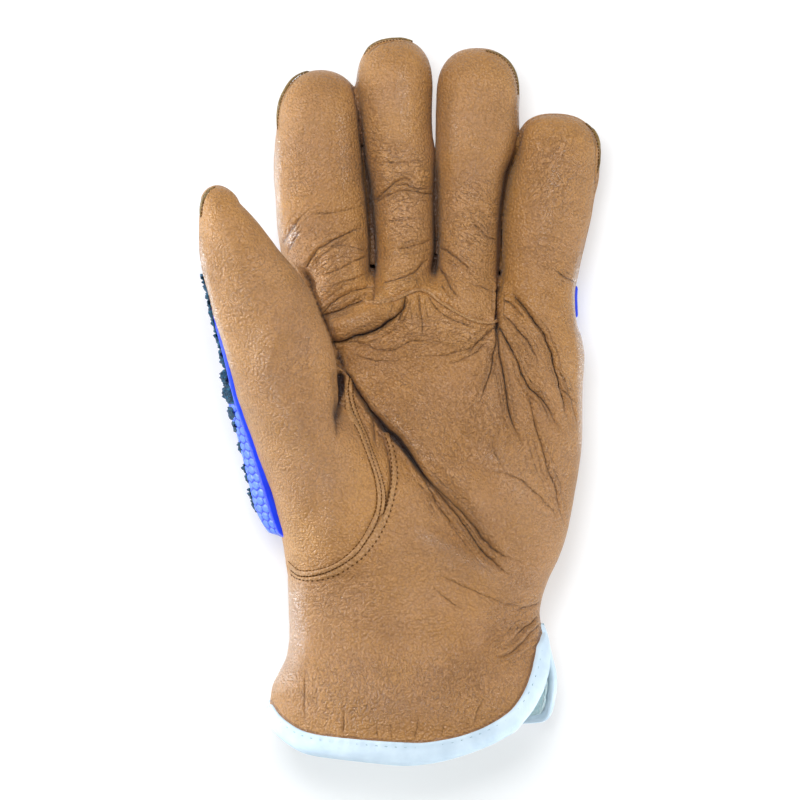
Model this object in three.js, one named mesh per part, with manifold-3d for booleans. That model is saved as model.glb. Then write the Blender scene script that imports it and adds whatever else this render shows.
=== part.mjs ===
// A left-hand leather driver glove, filled as if worn, lying palm up on its back.
// Sizes are in millimetres. +X is towards the little finger, +Y towards the fingertips, +Z out of the palm.
import * as THREE from "three";
import { mergeVertices } from "three/addons/utils/BufferGeometryUtils.js";
import Module from "manifold-3d";

// Driving sizes
const LEATHER = 1.8;
const GAP = 0.3;
const ROUNDNESS = 2.5;
const BINDING_WIDTH = 8;
const BINDING_SKIN = 1;
const LINING = 1.2;
const LINING_TOP = -72;
const HALF_GAP = GAP / 2;
// The pieces round the thumb's base lie above this height
const BAND_LOW = 24;
const GUARD_PLATE = 2;
const KNUCKLE_BUMP = 6;

// How far bodies that are to be joined run into each other
const TOUCH = 0.05;
// Far limits of the cutting prisms, past the glove on every side
const FAR = 200;
const LOW = -60;
const HIGH = 120;

// Sections of the hand from the hem to the finger roots: the left and right edge as seen from above,
// the back (down) and the front (up)
const HAND = [
  { y: -128, left: -45.6, right: 53.8, back: 1.3, front: 46.4 },
  { y: -105, left: -45.2, right: 53.8, back: 1.3, front: 46.4 },
  { y: -94, left: -41.8, right: 53.3, back: 1.5, front: 45 },
  { y: -84, left: -38.9, right: 51, back: 2.2, front: 43.4 },
  { y: -74, left: -38.8, right: 48.7, back: 2.7, front: 42 },
  { y: -64, left: -38.8, right: 51.2, back: 2.2, front: 41.6 },
  { y: -55, left: -39, right: 55.1, back: 1.3, front: 41.6 },
  { y: -47, left: -39, right: 57.7, back: 0.7, front: 41.4 },
  { y: -39, left: -38.8, right: 59.5, back: 0.3, front: 41.2 },
  { y: -31, left: -38.4, right: 60.9, back: 0.2, front: 41 },
  { y: -23, left: -38, right: 62, back: 0.4, front: 40.6 },
  { y: -15, left: -38, right: 62.8, back: 0.9, front: 40 },
  { y: -7, left: -38, right: 63.2, back: 1.6, front: 39.4 },
  { y: 1, left: -38, right: 63.4, back: 2.4, front: 38.6 },
  { y: 9, left: -38, right: 63.1, back: 3.3, front: 37.7 },
  { y: 17, left: -38, right: 62.2, back: 4.1, front: 36.8 },
  { y: 24, left: -38, right: 56, back: 4.7, front: 35.6 },
  { y: 31, left: -36.5, right: 36, back: 5.6, front: 33.8 },
  { y: 39, left: -24, right: 22, back: 8, front: 29.5 },
];

// Sections of the digits from inside the hand to where the tip's dome starts. tip is the dome's top
const DIGITS = {
  index: {
    rows: [
      { y: 12, left: -35, right: -10, back: 7, front: 31 },
      { y: 28, left: -39.5, right: -9.2, back: 4.6, front: 33.8 },
      { y: 42, left: -40.5, right: -9.9, back: 4, front: 32.4 },
      { y: 56, left: -42, right: -10.3, back: 4, front: 31.2 },
      { y: 72, left: -43.5, right: -11.9, back: 4.4, front: 31 },
      { y: 88, left: -43.4, right: -13.6, back: 5.4, front: 31.6 },
      { y: 101, left: -42.4, right: -14.3, back: 6.8, front: 32.2 },
    ],
    tip: { x: -27.5, y: 114.4, bow: 1 },
  },
  middle: {
    rows: [
      { y: 16, left: -7.4, right: 9.2, back: 7, front: 31 },
      { y: 30, left: -8.9, right: 10.6, back: 4.6, front: 34.4 },
      { y: 43, left: -9.2, right: 10.4, back: 4, front: 33.2 },
      { y: 54, left: -9.3, right: 11.8, back: 3.8, front: 31.4 },
      { y: 70, left: -10, right: 11.7, back: 3.8, front: 30.6 },
      { y: 84, left: -12.2, right: 11.5, back: 4.3, front: 30.6 },
      { y: 100, left: -13.6, right: 10.8, back: 5.3, front: 31.2 },
      { y: 114, left: -15.6, right: 10.8, back: 6.6, front: 32 },
    ],
    tip: { x: -2, y: 125.6, bow: 0.9 },
  },
  ring: {
    rows: [
      { y: 10, left: 13.6, right: 30.6, back: 7, front: 31 },
      { y: 24, left: 11.8, right: 33.2, back: 4.6, front: 34.2 },
      { y: 38, left: 11.6, right: 33.7, back: 4, front: 32.2 },
      { y: 50, left: 12.4, right: 33.5, back: 3.8, front: 30.8 },
      { y: 62, left: 12.6, right: 33.5, back: 3.8, front: 30.2 },
      { y: 75, left: 12.7, right: 34.8, back: 4, front: 30 },
      { y: 86, left: 12.4, right: 38.9, back: 4.6, front: 30.3 },
      { y: 99, left: 12.4, right: 41.4, back: 5.6, front: 31 },
      { y: 110, left: 13, right: 40.4, back: 6.6, front: 31.6 },
    ],
    tip: { x: 26.8, y: 122, bow: 1 },
  },
  little: {
    rows: [
      { y: 6, left: 37, right: 58.6, back: 7, front: 29.5 },
      { y: 20, left: 34.6, right: 61.4, back: 4.6, front: 32.4 },
      { y: 33, left: 34.5, right: 60.6, back: 4, front: 30.6 },
      { y: 45, left: 35, right: 62.2, back: 3.8, front: 29.2 },
      { y: 58, left: 35.6, right: 65, back: 3.8, front: 28.4 },
      { y: 72, left: 37.2, right: 67.7, back: 4, front: 28 },
      { y: 84, left: 40.4, right: 69.2, back: 4.6, front: 28.1 },
      { y: 92, left: 42.6, right: 67.8, back: 5.4, front: 28.4 },
    ],
    tip: { x: 54, y: 99.6, bow: 0.6 },
  },
  thumb: {
    rows: [
      { y: -60, left: -33, right: -24, back: 9, front: 36 },
      { y: -54, left: -37.6, right: -18, back: 6.6, front: 39.5 },
      { y: -47, left: -40.8, right: -14, back: 5.6, front: 43 },
      { y: -38, left: -44.2, right: -10.4, back: 5.4, front: 46.6 },
      { y: -27, left: -48.6, right: -9.2, back: 6.8, front: 50 },
      { y: -15, left: -52.7, right: -12.2, back: 10.4, front: 53.2 },
      { y: -5, left: -55.8, right: -20, back: 15, front: 56 },
      { y: 5, left: -58.6, right: -22, back: 21, front: 58.4 },
      { y: 15, left: -61.2, right: -22.5, back: 30, front: 60.8 },
      { y: 28, left: -64.6, right: -26.8, back: 36, front: 63.2 },
      { y: 41, left: -67.6, right: -33.4, back: 39.2, front: 65.2 },
      { y: 52, left: -69.1, right: -41.9, back: 42.6, front: 66 },
      { y: 60, left: -69.3, right: -48.8, back: 45.4, front: 66 },
    ],
    tip: { x: -63, y: 73.6, bow: 1.3 },
  },
};

// Dome rings of a digit's tip, counted between the last section and the tip
const TIP_RINGS = 2;
// Steps round the front and the back of a section
const SIDES = {
  hand: { front: 11, back: 4 },
  finger: { front: 6, back: 4 },
  thumb: { front: 7, back: 4 },
};
// Part of those steps that is even, the rest being closer together towards the edges
const EVEN_SHARE = 0.55;

// Folds and creases of the palm side: each is a valley along a path of [x, y] points
const FOLDS = [
  {
    name: "thumb_crease",
    depth: 4.2,
    width: 4.6,
    path: [[-21, 9], [-13, 0], [-5, -10], [4, -19], [11, -29], [19, -38], [29, -48], [43, -57]],
  },
  { name: "index_roll_upper", depth: 2.4, width: 4, path: [[-28, 29], [-19, 32], [-11, 35]] },
  { name: "index_roll_lower", depth: 3.4, width: 4, path: [[-24, 19], [-16, 21.5], [-7, 26], [2, 33]] },
  { name: "heel_crease", depth: 2.6, width: 4.4, path: [[13, -39], [20, -45], [26, -51], [33, -59], [41, -64]] },
  { name: "little_outer", depth: 2.6, width: 4.4, path: [[37, 38], [46, 30], [51, 21], [55, 10], [59, -11]] },
  { name: "little_inner", depth: 2.4, width: 4.4, path: [[35, 24], [41, 13], [45, -2], [49, -15], [53, -28]] },
  { name: "ring_root", depth: 2.4, width: 4.4, path: [[33, 24], [32, 11], [29, -4], [26, -14]] },
  { name: "palm_hollow", depth: 2.6, width: 8, path: [[-13, 11], [6, 8], [24, 8]] },
  { name: "wrist_fold", depth: 1.8, width: 4.6, path: [[48, -77], [42, -84], [34, -88]] },
];
// A fold's raised lips: their share of its depth, and their place in widths from its line
const FOLD_LIP = 0.35;
const FOLD_LIP_AT = 1.8;

// Seams as seen from above, as [x, y] points
const TWO_FINGER_SEAM = [
  [-14, 36.5], [-11.5, 34], [-5, 34], [3, 37.3], [9, 37.2], [17, 32], [24.5, 28], [34, 26.6], [37, 27],
];
const THUMB_INNER_SEAM = [
  [-18, 12], [-18, 3.5], [-17.2, -2], [-15, -7.5], [-11.5, -15], [-9, -22], [-6.7, -31], [-5.5, -36],
];
const BAND_OUTER = [
  [-9.5, -5.5], [-5.9, -11], [-2, -16.6], [-1, -25], [-2.1, -34.5], [-5.5, -44.2],
  [-11, -52.4], [-18.3, -58.7], [-27, -62], [-36, -61.6], [-44, -60.6],
];
const BAND_INNER = [
  [-12, -7.2], [-8.3, -11.5], [-4.8, -17.5], [-3.7, -25], [-4.4, -32],
  [-7, -36], [-12, -40], [-26, -50], [-44, -50],
];
const WELT_WIDTH = 1.4;
const INNER_WELT_WIDTH = 2;

// Outer edge of the cuff's tape as seen from above, on the palm flap and on the back flap
const PALM_HEM = [
  [-47, -106.5], [-45, -112], [-41, -117], [-34, -121], [-18, -124.2], [2, -125.6], [18, -123.2],
  [32, -118], [42, -111.4], [48.6, -102], [51.4, -91], [50.5, -80], [56, -79],
];
const BACK_HEM = [[-47, -106.5], [-42, -110.5], [0, -112.6], [44, -111.6], [51, -109.4], [56, -102]];
// The cuff's vent at the little finger's side: its inner end along Y and where it starts along X
const VENT_TOP = -80;
const VENT_LEFT = 40;

// Height of the seam between the palm side and the back, along the hand's and the fingers' outer sides
const SIDE_SEAM = [[-140, 21], [-90, 22], [-30, 21], [20, 19], [60, 18.5], [100, 20], [130, 20.5]];
// The strips between the fingers lie between these two heights and taper out at the tips
const STRIP_UPPER = [[24, 25], [60, 24.5], [98, 26], [112, 21.5], [130, 21]];
const STRIP_LOWER = [[24, 11], [60, 10.5], [98, 12.5], [112, 19.5], [130, 20.4]];
const THUMB_SEAM = [[-70, 20], [-45, 22], [-10, 33], [20, 48], [50, 56], [80, 58]];

// Where one finger ends and the next begins, as seen from above
const INDEX_MIDDLE = [
  [-9.2, 20], [-9.3, 40], [-9.8, 56], [-11.5, 70], [-13, 84], [-13.8, 100], [-16.2, 112], [-17, 130],
];
const RING_LITTLE = [[34, 20], [34.1, 40], [34.4, 56], [35.4, 68], [37, 78], [41, 88], [43.5, 98], [44, 130]];
// The two of them cut the two-finger panel from here on
const FINGER_SPLIT = 30;

// The middles of the fingers along X, where the seam heights change over inside the hollow
const FINGER_MIDDLES = { index: -24, middle: 1, ring: 22.5, little: 48 };

// Guard on the thumb's back: a sector of the thumb's girth, in degrees from +X towards +Z. Towards the
// tip its front edge (from) goes round behind the leather, and size thins it out
const THUMB_GUARD = {
  rows: [
    { y: -47, from: 152, size: 1 },
    { y: -38, from: 152, size: 1 },
    { y: -27, from: 152, size: 1 },
    { y: -15, from: 152, size: 1 },
    { y: -5, from: 152, size: 1 },
    { y: 5, from: 152, size: 1 },
    { y: 15, from: 153, size: 0.95 },
    { y: 28, from: 158, size: 0.62 },
    { y: 42, from: 182, size: 0.3 },
  ],
  to: 268,
  steps: 5,
  plate: 2.2,
  rail: { width: 11, height: 3.2, lap: 0.5 },
  ridge: { from: 186, to: 214, steps: 3, low: 3, high: 4.9, bumps: 11, top: 38, bottom: -38 },
};

// Guard over the knuckles: its outline as seen from above, its upper edge at the little finger's side,
// and the flat-topped bumps that the glove rests on
const KNUCKLE_GUARD = {
  outline: [[-34, 14], [-34, 40], [-10, 44], [12, 46], [36, 41], [66, 40], [66, 28], [58, 14], [20, 9], [-10, 9]],
  height: 17,
  bumps: [
    { x: -24, y: 27, w: 17, h: 17 },
    { x: 1, y: 29, w: 15, h: 19 },
    { x: 22.5, y: 28, w: 15, h: 19 },
    { x: 46, y: 24, w: 17, h: 15 },
  ],
  cornerRadius: 3,
};

const COLOURS = {
  leather: { color: 0xb08456, roughness: 0.55, metalness: 0 },
  welt: { color: 0xb99d6c, roughness: 0.6, metalness: 0 },
  binding: { color: 0xe6f0f8, roughness: 0.7, metalness: 0 },
  lining: { color: 0x88a9b3, roughness: 0.9, metalness: 0 },
  rubber: { color: 0x0d3fd0, roughness: 0.4, metalness: 0 },
  ridge: { color: 0x10303c, roughness: 0.5, metalness: 0 },
};

const wasm = await Module();
wasm.setup();

// Solids and geometries

function solid(geometry) {
  const bare = geometry.index ? geometry.toNonIndexed() : geometry.clone();
  for (const name of ["normal", "uv"]) bare.deleteAttribute(name);
  const merged = mergeVertices(bare, 1e-4);
  const made = new wasm.Manifold(
    new wasm.Mesh({
      numProp: 3,
      vertProperties: merged.attributes.position.array,
      triVerts: new Uint32Array(merged.index.array),
    }),
  );
  return made;
}

function geometryOf(body) {
  const mesh = body.getMesh();
  const geometry = new THREE.BufferGeometry();
  geometry.setAttribute("position", new THREE.BufferAttribute(new Float32Array(mesh.vertProperties), 3));
  geometry.setIndex(new THREE.BufferAttribute(new Uint32Array(mesh.triVerts), 1));
  const flat = geometry.toNonIndexed();
  flat.computeVertexNormals();
  return flat;
}

function union(...bodies) {
  return bodies.reduce((whole, body) => whole.add(body));
}

// Every ring holds the same number of points, in order round it; the ends close on a point each.
function loft(rings, startPoint, endPoint) {
  const count = rings[0].length;
  const points = [startPoint, ...rings.flat(), endPoint];
  const last = points.length - 1;
  const triangles = [];
  for (let i = 0; i < count; i++) {
    const next = (i + 1) % count;
    triangles.push(0, 1 + i, 1 + next);
    for (let r = 0; r + 1 < rings.length; r++) {
      const a = 1 + r * count;
      const b = a + count;
      triangles.push(a + i, b + i, b + next, a + i, b + next, a + next);
    }
    const end = 1 + (rings.length - 1) * count;
    triangles.push(end + i, last, end + next);
  }
  const geometry = new THREE.BufferGeometry();
  geometry.setAttribute("position", new THREE.Float32BufferAttribute(points.flatMap((p) => p.toArray()), 3));
  geometry.setIndex(triangles);
  return geometry;
}

// Prism over an outline of [x, y] points, between two heights
function upright(outline, low = LOW, high = HIGH) {
  const shape = new THREE.Shape(outline.map(([x, y]) => new THREE.Vector2(x, y)));
  const geometry = new THREE.ExtrudeGeometry(shape, { depth: high - low, bevelEnabled: false });
  return solid(geometry.translate(0, 0, low));
}

// Prism over a profile of [y, z] points, between two places along X
function sideways(profile, left = -FAR, right = FAR) {
  const shape = new THREE.Shape(profile.map(([y, z]) => new THREE.Vector2(y, z)));
  const geometry = new THREE.ExtrudeGeometry(shape, { depth: right - left, bevelEnabled: false });
  const turn = new THREE.Matrix4().makeBasis(
    new THREE.Vector3(0, 1, 0),
    new THREE.Vector3(0, 0, 1),
    new THREE.Vector3(1, 0, 0),
  );
  return solid(geometry.applyMatrix4(turn).translate(left, 0, 0));
}

const raised = (line, rise) => line.map(([y, z]) => [y, z + rise]);
const shifted = (line, dx, dy) => line.map(([x, y]) => [x + dx, y + dy]);
const reversed = (line) => [...line].reverse();

// Everything above or below a line of [y, z] points
function above(line, left, right) {
  const [first, last] = [line[0], line[line.length - 1]];
  return sideways([...line, [last[0], HIGH], [first[0], HIGH]], left, right);
}

function below(line, left, right) {
  const [first, last] = [line[0], line[line.length - 1]];
  return sideways([...line, [last[0], LOW], [first[0], LOW]], left, right);
}

// Outline of a strip of even width along a path
function ribbon(path, width) {
  const side = (sign) =>
    path.map(([x, y], i) => {
      const [ax, ay] = path[Math.max(i - 1, 0)];
      const [bx, by] = path[Math.min(i + 1, path.length - 1)];
      const length = Math.hypot(bx - ax, by - ay);
      return [x - (sign * (by - ay) * width) / 2 / length, y + (sign * (bx - ax) * width) / 2 / length];
    });
  return [...side(1), ...reversed(side(-1))];
}

// The glove's form

function distanceToPath(x, y, path) {
  let nearest = Infinity;
  for (let i = 0; i + 1 < path.length; i++) {
    const [ax, ay] = path[i];
    const [dx, dy] = [path[i + 1][0] - ax, path[i + 1][1] - ay];
    const along = THREE.MathUtils.clamp(((x - ax) * dx + (y - ay) * dy) / (dx * dx + dy * dy), 0, 1);
    nearest = Math.min(nearest, Math.hypot(x - ax - along * dx, y - ay - along * dy));
  }
  return nearest;
}

function foldDepth(x, y) {
  let depth = 0;
  for (const fold of FOLDS) {
    const reach = distanceToPath(x, y, fold.path) / fold.width;
    depth += fold.depth * (Math.exp(-reach * reach) - FOLD_LIP * Math.exp(-((reach - FOLD_LIP_AT) ** 2)));
  }
  return depth;
}

// Places across a section, from one edge (-1) to the other (1), closer together towards the edges
function acrossSteps(count) {
  const steps = [];
  for (let i = 0; i < count; i++) {
    const even = -1 + (2 * i) / count;
    steps.push(EVEN_SHARE * even + (1 - EVEN_SHARE) * Math.sin((Math.PI / 2) * even));
  }
  return steps;
}

// One closed section: the front from right to left, then the back from left to right.
// grow moves its wall outwards, or inwards when it is negative.
function section(row, sides, grow, folded) {
  const centreX = (row.left + row.right) / 2;
  const centreZ = (row.back + row.front) / 2;
  const halfWidth = (row.right - row.left) / 2;
  const halfHeight = (row.front - row.back) / 2;
  const point = (across, sign) => {
    const rise = (1 - Math.abs(across) ** ROUNDNESS) ** (1 / ROUNDNESS);
    const slopeX = Math.sign(across) * (Math.abs(across) ** (ROUNDNESS - 1) / halfWidth);
    const slopeZ = (sign * rise ** (ROUNDNESS - 1)) / halfHeight;
    const length = Math.hypot(slopeX, slopeZ);
    const x = centreX + halfWidth * across + (grow * slopeX) / length;
    const z = centreZ + sign * halfHeight * rise + (grow * slopeZ) / length;
    const sink = folded && sign > 0 ? foldDepth(x, row.y) * THREE.MathUtils.smoothstep(rise, 0, 0.8) : 0;
    return new THREE.Vector3(x, row.y, z - sink);
  };
  const front = acrossSteps(sides.front).map((across) => point(-across, 1));
  const back = acrossSteps(sides.back).map((across) => point(across, -1));
  return [...front, ...back];
}

function middleOf(row) {
  return new THREE.Vector3((row.left + row.right) / 2, row.y, (row.back + row.front) / 2);
}

// Rows of the round tip after a digit's last section
function tipRows(last, tip, grow) {
  const rows = [];
  const height = tip.y + grow - last.y;
  for (let i = 1; i <= TIP_RINGS; i++) {
    const turn = (i / (TIP_RINGS + 1)) * (Math.PI / 2);
    const size = Math.cos(turn) ** tip.bow;
    const along = Math.sin(turn);
    const drift = (tip.x - (last.left + last.right) / 2) * along;
    const middleZ = (last.back + last.front) / 2;
    const halfWidth = ((last.right - last.left) / 2) * size;
    const halfHeight = ((last.front - last.back) / 2) * Math.cos(turn) ** 0.8;
    const centre = (last.left + last.right) / 2 + drift;
    rows.push({
      y: last.y + height * along,
      left: centre - halfWidth,
      right: centre + halfWidth,
      back: middleZ - halfHeight,
      front: middleZ + halfHeight,
    });
  }
  return rows;
}

// The inside of a digit has every second section only
function digitForm(digit, sides, grow, folded) {
  const count = digit.rows.length;
  const last = digit.rows[count - 1];
  const kept = digit.rows.filter((row, i) => grow >= 0 || i % 2 === (count - 1) % 2);
  const rows = [...kept, ...tipRows(last, digit.tip, grow)];
  const rings = rows.map((row) => section(row, sides, grow, folded));
  const top = new THREE.Vector3(digit.tip.x, digit.tip.y + grow, (last.back + last.front) / 2);
  return solid(loft(rings, middleOf(rows[0]), top));
}

function handForm(grow, rows = HAND) {
  const rings = rows.map((row) => section(row, SIDES.hand, grow, true));
  const top = middleOf(rows[rows.length - 1]);
  top.y += rows === HAND ? 2 + grow : 0;
  return solid(loft(rings, middleOf(rows[0]), top));
}

function fingersForm(grow) {
  const names = ["index", "middle", "ring", "little"];
  return union(...names.map((name) => digitForm(DIGITS[name], SIDES.finger, grow, true)));
}

const thumbForm = (grow) => digitForm(DIGITS.thumb, SIDES.thumb, grow, false);

// Everything inside the tape's outer edge moved up by rise, as seen from above: for the palm flap and the
// back flap
function hemZone(rise) {
  const zone = (edge) => {
    const [first, last] = [edge[0], edge[edge.length - 1]];
    const corners = [[FAR, last[1] + rise], [FAR, FAR], [-FAR, FAR], [-FAR, first[1] + rise]];
    return upright([...shifted(edge, 0, rise), ...corners]);
  };
  return { palm: zone(PALM_HEM), back: zone(BACK_HEM) };
}

const palmHalf = (rise) => above(raised(SIDE_SEAM, rise));
const backHalf = (rise) => below(raised(SIDE_SEAM, rise));

// Walls: the hand with its fingers, and the thumb set into it

const handOuter = union(handForm(0), fingersForm(0));
const handInner = union(handForm(-LEATHER), fingersForm(-LEATHER));
const thumbInner = thumbForm(-LEATHER);
const hem = hemZone(BINDING_SKIN + GAP);
const hemKeep = union(hem.palm.intersect(palmHalf(0)), hem.back.intersect(backHalf(0)));
const handWall = handOuter.subtract(handInner).subtract(thumbForm(GAP)).intersect(hemKeep);
const thumbWall = thumbForm(0).subtract(thumbInner).subtract(handInner);

// Panels of the hand

// The fronts of the middle and ring fingers above the seam at their base
function twoFingerZone() {
  const seam = TWO_FINGER_SEAM.slice(1, -1);
  const right = RING_LITTLE.filter(([, y]) => y > FINGER_SPLIT);
  const left = INDEX_MIDDLE.filter(([, y]) => y > FINGER_SPLIT);
  return upright([...seam, ...right, ...reversed(left)]);
}

const seamCut = (path, width, low = LOW) => upright(ribbon(path, width), low);

// Seam heights inside the hand, where the lines of the strips go on to the cuff
const FRONT_LINE = [[-140, 21], ...STRIP_UPPER];
const BACK_LINE = [[-140, 21], [20, 14], ...STRIP_LOWER];

// What lies on one side of the seams: of the side seam at the outer sides, and of the line at the strips
// between the fingers
function seamSide(side, line, rise) {
  const { index, little } = FINGER_MIDDLES;
  const seam = raised(SIDE_SEAM, rise);
  const outer = union(side(seam, -FAR, index), side(seam, little, FAR));
  return union(outer, side(raised(line, rise), index - TOUCH, little + TOUCH));
}

const frontSide = () => seamSide(above, FRONT_LINE, HALF_GAP);
const backSide = () => seamSide(below, BACK_LINE, -HALF_GAP);

function stripZone(from, to) {
  const upper = raised(STRIP_UPPER, -HALF_GAP);
  const lower = raised(STRIP_LOWER, HALF_GAP);
  return sideways([...upper, ...reversed(lower)], from + HALF_GAP, to - HALF_GAP);
}

// Zones round the thumb's base, all on the palm side
const gussetOutline = [[-19, 9], ...THUMB_INNER_SEAM.slice(1), ...reversed(BAND_INNER.slice(0, 5)), [-15, 3]];
const bandZone = upright([...BAND_OUTER, ...reversed(BAND_INNER)], BAND_LOW);
const bandCuts = [seamCut(BAND_OUTER, 2 * GAP, BAND_LOW - GAP), seamCut(BAND_INNER, 2 * GAP, BAND_LOW - GAP)];
const gussetZone = upright(gussetOutline, BAND_LOW);
const gussetTurn = THUMB_INNER_SEAM.length;
const gussetCuts = [
  seamCut(gussetOutline.slice(0, gussetTurn), 2 * GAP, BAND_LOW - GAP),
  seamCut([...gussetOutline.slice(gussetTurn - 1), gussetOutline[0]], 2 * GAP, BAND_LOW - GAP),
];
const innerWeltZone = seamCut(THUMB_INNER_SEAM, INNER_WELT_WIDTH, BAND_LOW);
const innerWeltClear = seamCut(THUMB_INNER_SEAM, INNER_WELT_WIDTH + 2 * GAP, BAND_LOW - GAP);

function without(body, ...cuts) {
  return cuts.reduce((rest, cut) => rest.subtract(cut), body);
}

function handPanels() {
  const front = without(handWall.intersect(frontSide()), seamCut(INDEX_MIDDLE, GAP), seamCut(RING_LITTLE, GAP));
  const weltPath = TWO_FINGER_SEAM.slice(1, -1);
  const weltClear = seamCut(TWO_FINGER_SEAM, WELT_WIDTH + 2 * GAP);
  const { index, middle, ring, little } = FINGER_MIDDLES;
  const thumbSeam = [bandZone, ...bandCuts, innerWeltClear, gussetZone, ...gussetCuts];
  return {
    palm_panel: without(front, twoFingerZone(), weltClear, ...thumbSeam),
    two_finger_panel: front.intersect(twoFingerZone()).subtract(weltClear),
    finger_welt: front.intersect(seamCut(weltPath, WELT_WIDTH)),
    back_panel: handWall.intersect(backSide()),
    fourchette_index_middle: handWall.intersect(stripZone(index, middle)),
    fourchette_middle_ring: handWall.intersect(stripZone(middle, ring)),
    fourchette_ring_little: handWall.intersect(stripZone(ring, little)),
    thumb_seam_band: front.intersect(bandZone).subtract(innerWeltClear),
    thumb_gusset: without(front.intersect(gussetZone), bandZone, ...bandCuts, innerWeltClear),
    thumb_inner_welt: front.intersect(innerWeltZone),
  };
}

function thumbPanels() {
  return {
    thumb_front: thumbWall.intersect(above(raised(THUMB_SEAM, HALF_GAP))),
    thumb_back: thumbWall.intersect(below(raised(THUMB_SEAM, -HALF_GAP))),
  };
}

// Cuff: the tape folded over the hem, and the lining inside

const CUFF_ROWS = HAND.filter((row) => row.y < -60);

function cuffShell(outside, inside) {
  return handForm(outside, CUFF_ROWS).subtract(handForm(-LEATHER - inside, CUFF_ROWS));
}

// The vent as seen from above, wider by grow
function ventZone(grow) {
  const [left, top] = [VENT_LEFT - grow, VENT_TOP + grow];
  return upright([[left, -FAR], [FAR, -FAR], [FAR, top], [left, top]]);
}

function bindings() {
  const whole = cuffShell(GAP + BINDING_SKIN, GAP + BINDING_SKIN);
  const slot = cuffShell(GAP, GAP);
  const outer = hemZone(0);
  const leather = hemZone(BINDING_SKIN);
  const upper = hemZone(BINDING_WIDTH);
  const palmSide = palmHalf(HALF_GAP);
  const backOfHem = backHalf(-HALF_GAP);
  const ventEdge = backOfHem.subtract(backHalf(-BINDING_WIDTH)).intersect(ventZone(0));
  const palmStrip = outer.palm.subtract(upper.palm).intersect(palmSide);
  const backStrip = union(outer.back.subtract(upper.back).intersect(backOfHem), outer.back.intersect(ventEdge));
  return {
    cuff_binding_palm: whole.intersect(palmStrip).subtract(slot.intersect(leather.palm)),
    cuff_binding_back: whole.intersect(backStrip).subtract(slot.intersect(leather.back)),
  };
}

function cuffLining() {
  const shell = handForm(-LEATHER - GAP, CUFF_ROWS).subtract(handForm(-LEATHER - GAP - LINING, CUFF_ROWS));
  const zone = hemZone(BINDING_WIDTH + GAP);
  const inside = union(zone.palm.intersect(palmHalf(-TOUCH)), zone.back.intersect(backHalf(TOUCH)));
  const upTo = upright([[-FAR, -FAR], [FAR, -FAR], [FAR, LINING_TOP], [-FAR, LINING_TOP]]);
  const edge = palmHalf(-BINDING_WIDTH - GAP).intersect(ventZone(GAP));
  return { cuff_lining: shell.intersect(inside).intersect(upTo).subtract(edge) };
}

// Guards

// A plate over a sector of the thumb's girth: each row has its angles and its two distances from the leather
function thumbSector(rows, steps) {
  const rings = rows.map(({ y, from, to, inner, outer }) => {
    const place = thumbRowAt(y);
    const arc = (grow) => {
      const points = [];
      for (let i = 0; i <= steps; i++) points.push(girthPoint(place, from + ((to - from) * i) / steps, grow));
      return points;
    };
    return [...arc(outer), ...reversed(arc(inner))];
  });
  const middle = (ring) => {
    const sum = ring.reduce((total, point) => total.add(point), new THREE.Vector3());
    return sum.divideScalar(ring.length);
  };
  return solid(loft(rings, middle(rings[0]), middle(rings[rings.length - 1])));
}

// The thumb's section at any height, between the rows of its table
function thumbRowAt(y) {
  const rows = DIGITS.thumb.rows;
  const next = rows.findIndex((row) => row.y >= y);
  const [a, b] = [rows[next - 1], rows[next]];
  const part = (y - a.y) / (b.y - a.y);
  const mix = (key) => THREE.MathUtils.lerp(a[key], b[key], part);
  return { y, left: mix("left"), right: mix("right"), back: mix("back"), front: mix("front") };
}

// A point of a section's girth in a direction from its middle, moved outwards by grow
function girthPoint(row, degrees, grow) {
  const angle = THREE.MathUtils.degToRad(degrees);
  const halfWidth = (row.right - row.left) / 2;
  const halfHeight = (row.front - row.back) / 2;
  const [c, s] = [Math.cos(angle), Math.sin(angle)];
  const reach = (Math.abs(c / halfWidth) ** ROUNDNESS + Math.abs(s / halfHeight) ** ROUNDNESS) ** (-1 / ROUNDNESS);
  const [x, z] = [reach * c, reach * s];
  const slopeX = (Math.sign(x) * Math.abs(x / halfWidth) ** (ROUNDNESS - 1)) / halfWidth;
  const slopeZ = (Math.sign(z) * Math.abs(z / halfHeight) ** (ROUNDNESS - 1)) / halfHeight;
  const length = Math.hypot(slopeX, slopeZ);
  const middle = middleOf(row);
  const [outX, outZ] = [(grow * slopeX) / length, (grow * slopeZ) / length];
  return new THREE.Vector3(middle.x + x + outX, row.y, middle.z + z + outZ);
}

// A value of the guard's table at any height
function guardAt(y, key) {
  const { rows } = THUMB_GUARD;
  const next = Math.max(1, rows.findIndex((row) => row.y >= y));
  const [a, b] = [rows[next - 1], rows[next]];
  return THREE.MathUtils.lerp(a[key], b[key], (y - a.y) / (b.y - a.y));
}

// The plate with a smooth rail along its front edge and one along its back edge
function thumbGuard() {
  const { rows, to, steps, plate, rail } = THUMB_GUARD;
  const strip = (sector, height, count) => {
    const places = rows.map((row) => ({ y: row.y, inner: 0, outer: height * row.size, ...sector(row) }));
    return thumbSector(places, count);
  };
  const body = strip(({ from }) => ({ from, to }), plate, steps);
  const front = strip(({ from }) => ({ from: from - rail.lap, to: from + rail.width }), rail.height, 1);
  const back = strip(() => ({ from: to - rail.width, to: to + rail.lap }), rail.height, 1);
  return union(body, front, back);
}

function thumbGuardRidge() {
  const { ridge, plate } = THUMB_GUARD;
  const count = ridge.bumps * 2;
  const rows = [];
  for (let i = 0; i <= count; i++) {
    const y = THREE.MathUtils.lerp(ridge.bottom, ridge.top, i / count);
    const size = guardAt(y, "size");
    const inner = plate * size + GAP;
    const height = (i % 2 ? ridge.high : ridge.low) - plate;
    rows.push({ y, from: ridge.from, to: ridge.to, inner, outer: inner + height * size });
  }
  return thumbSector(rows, ridge.steps);
}

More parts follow.
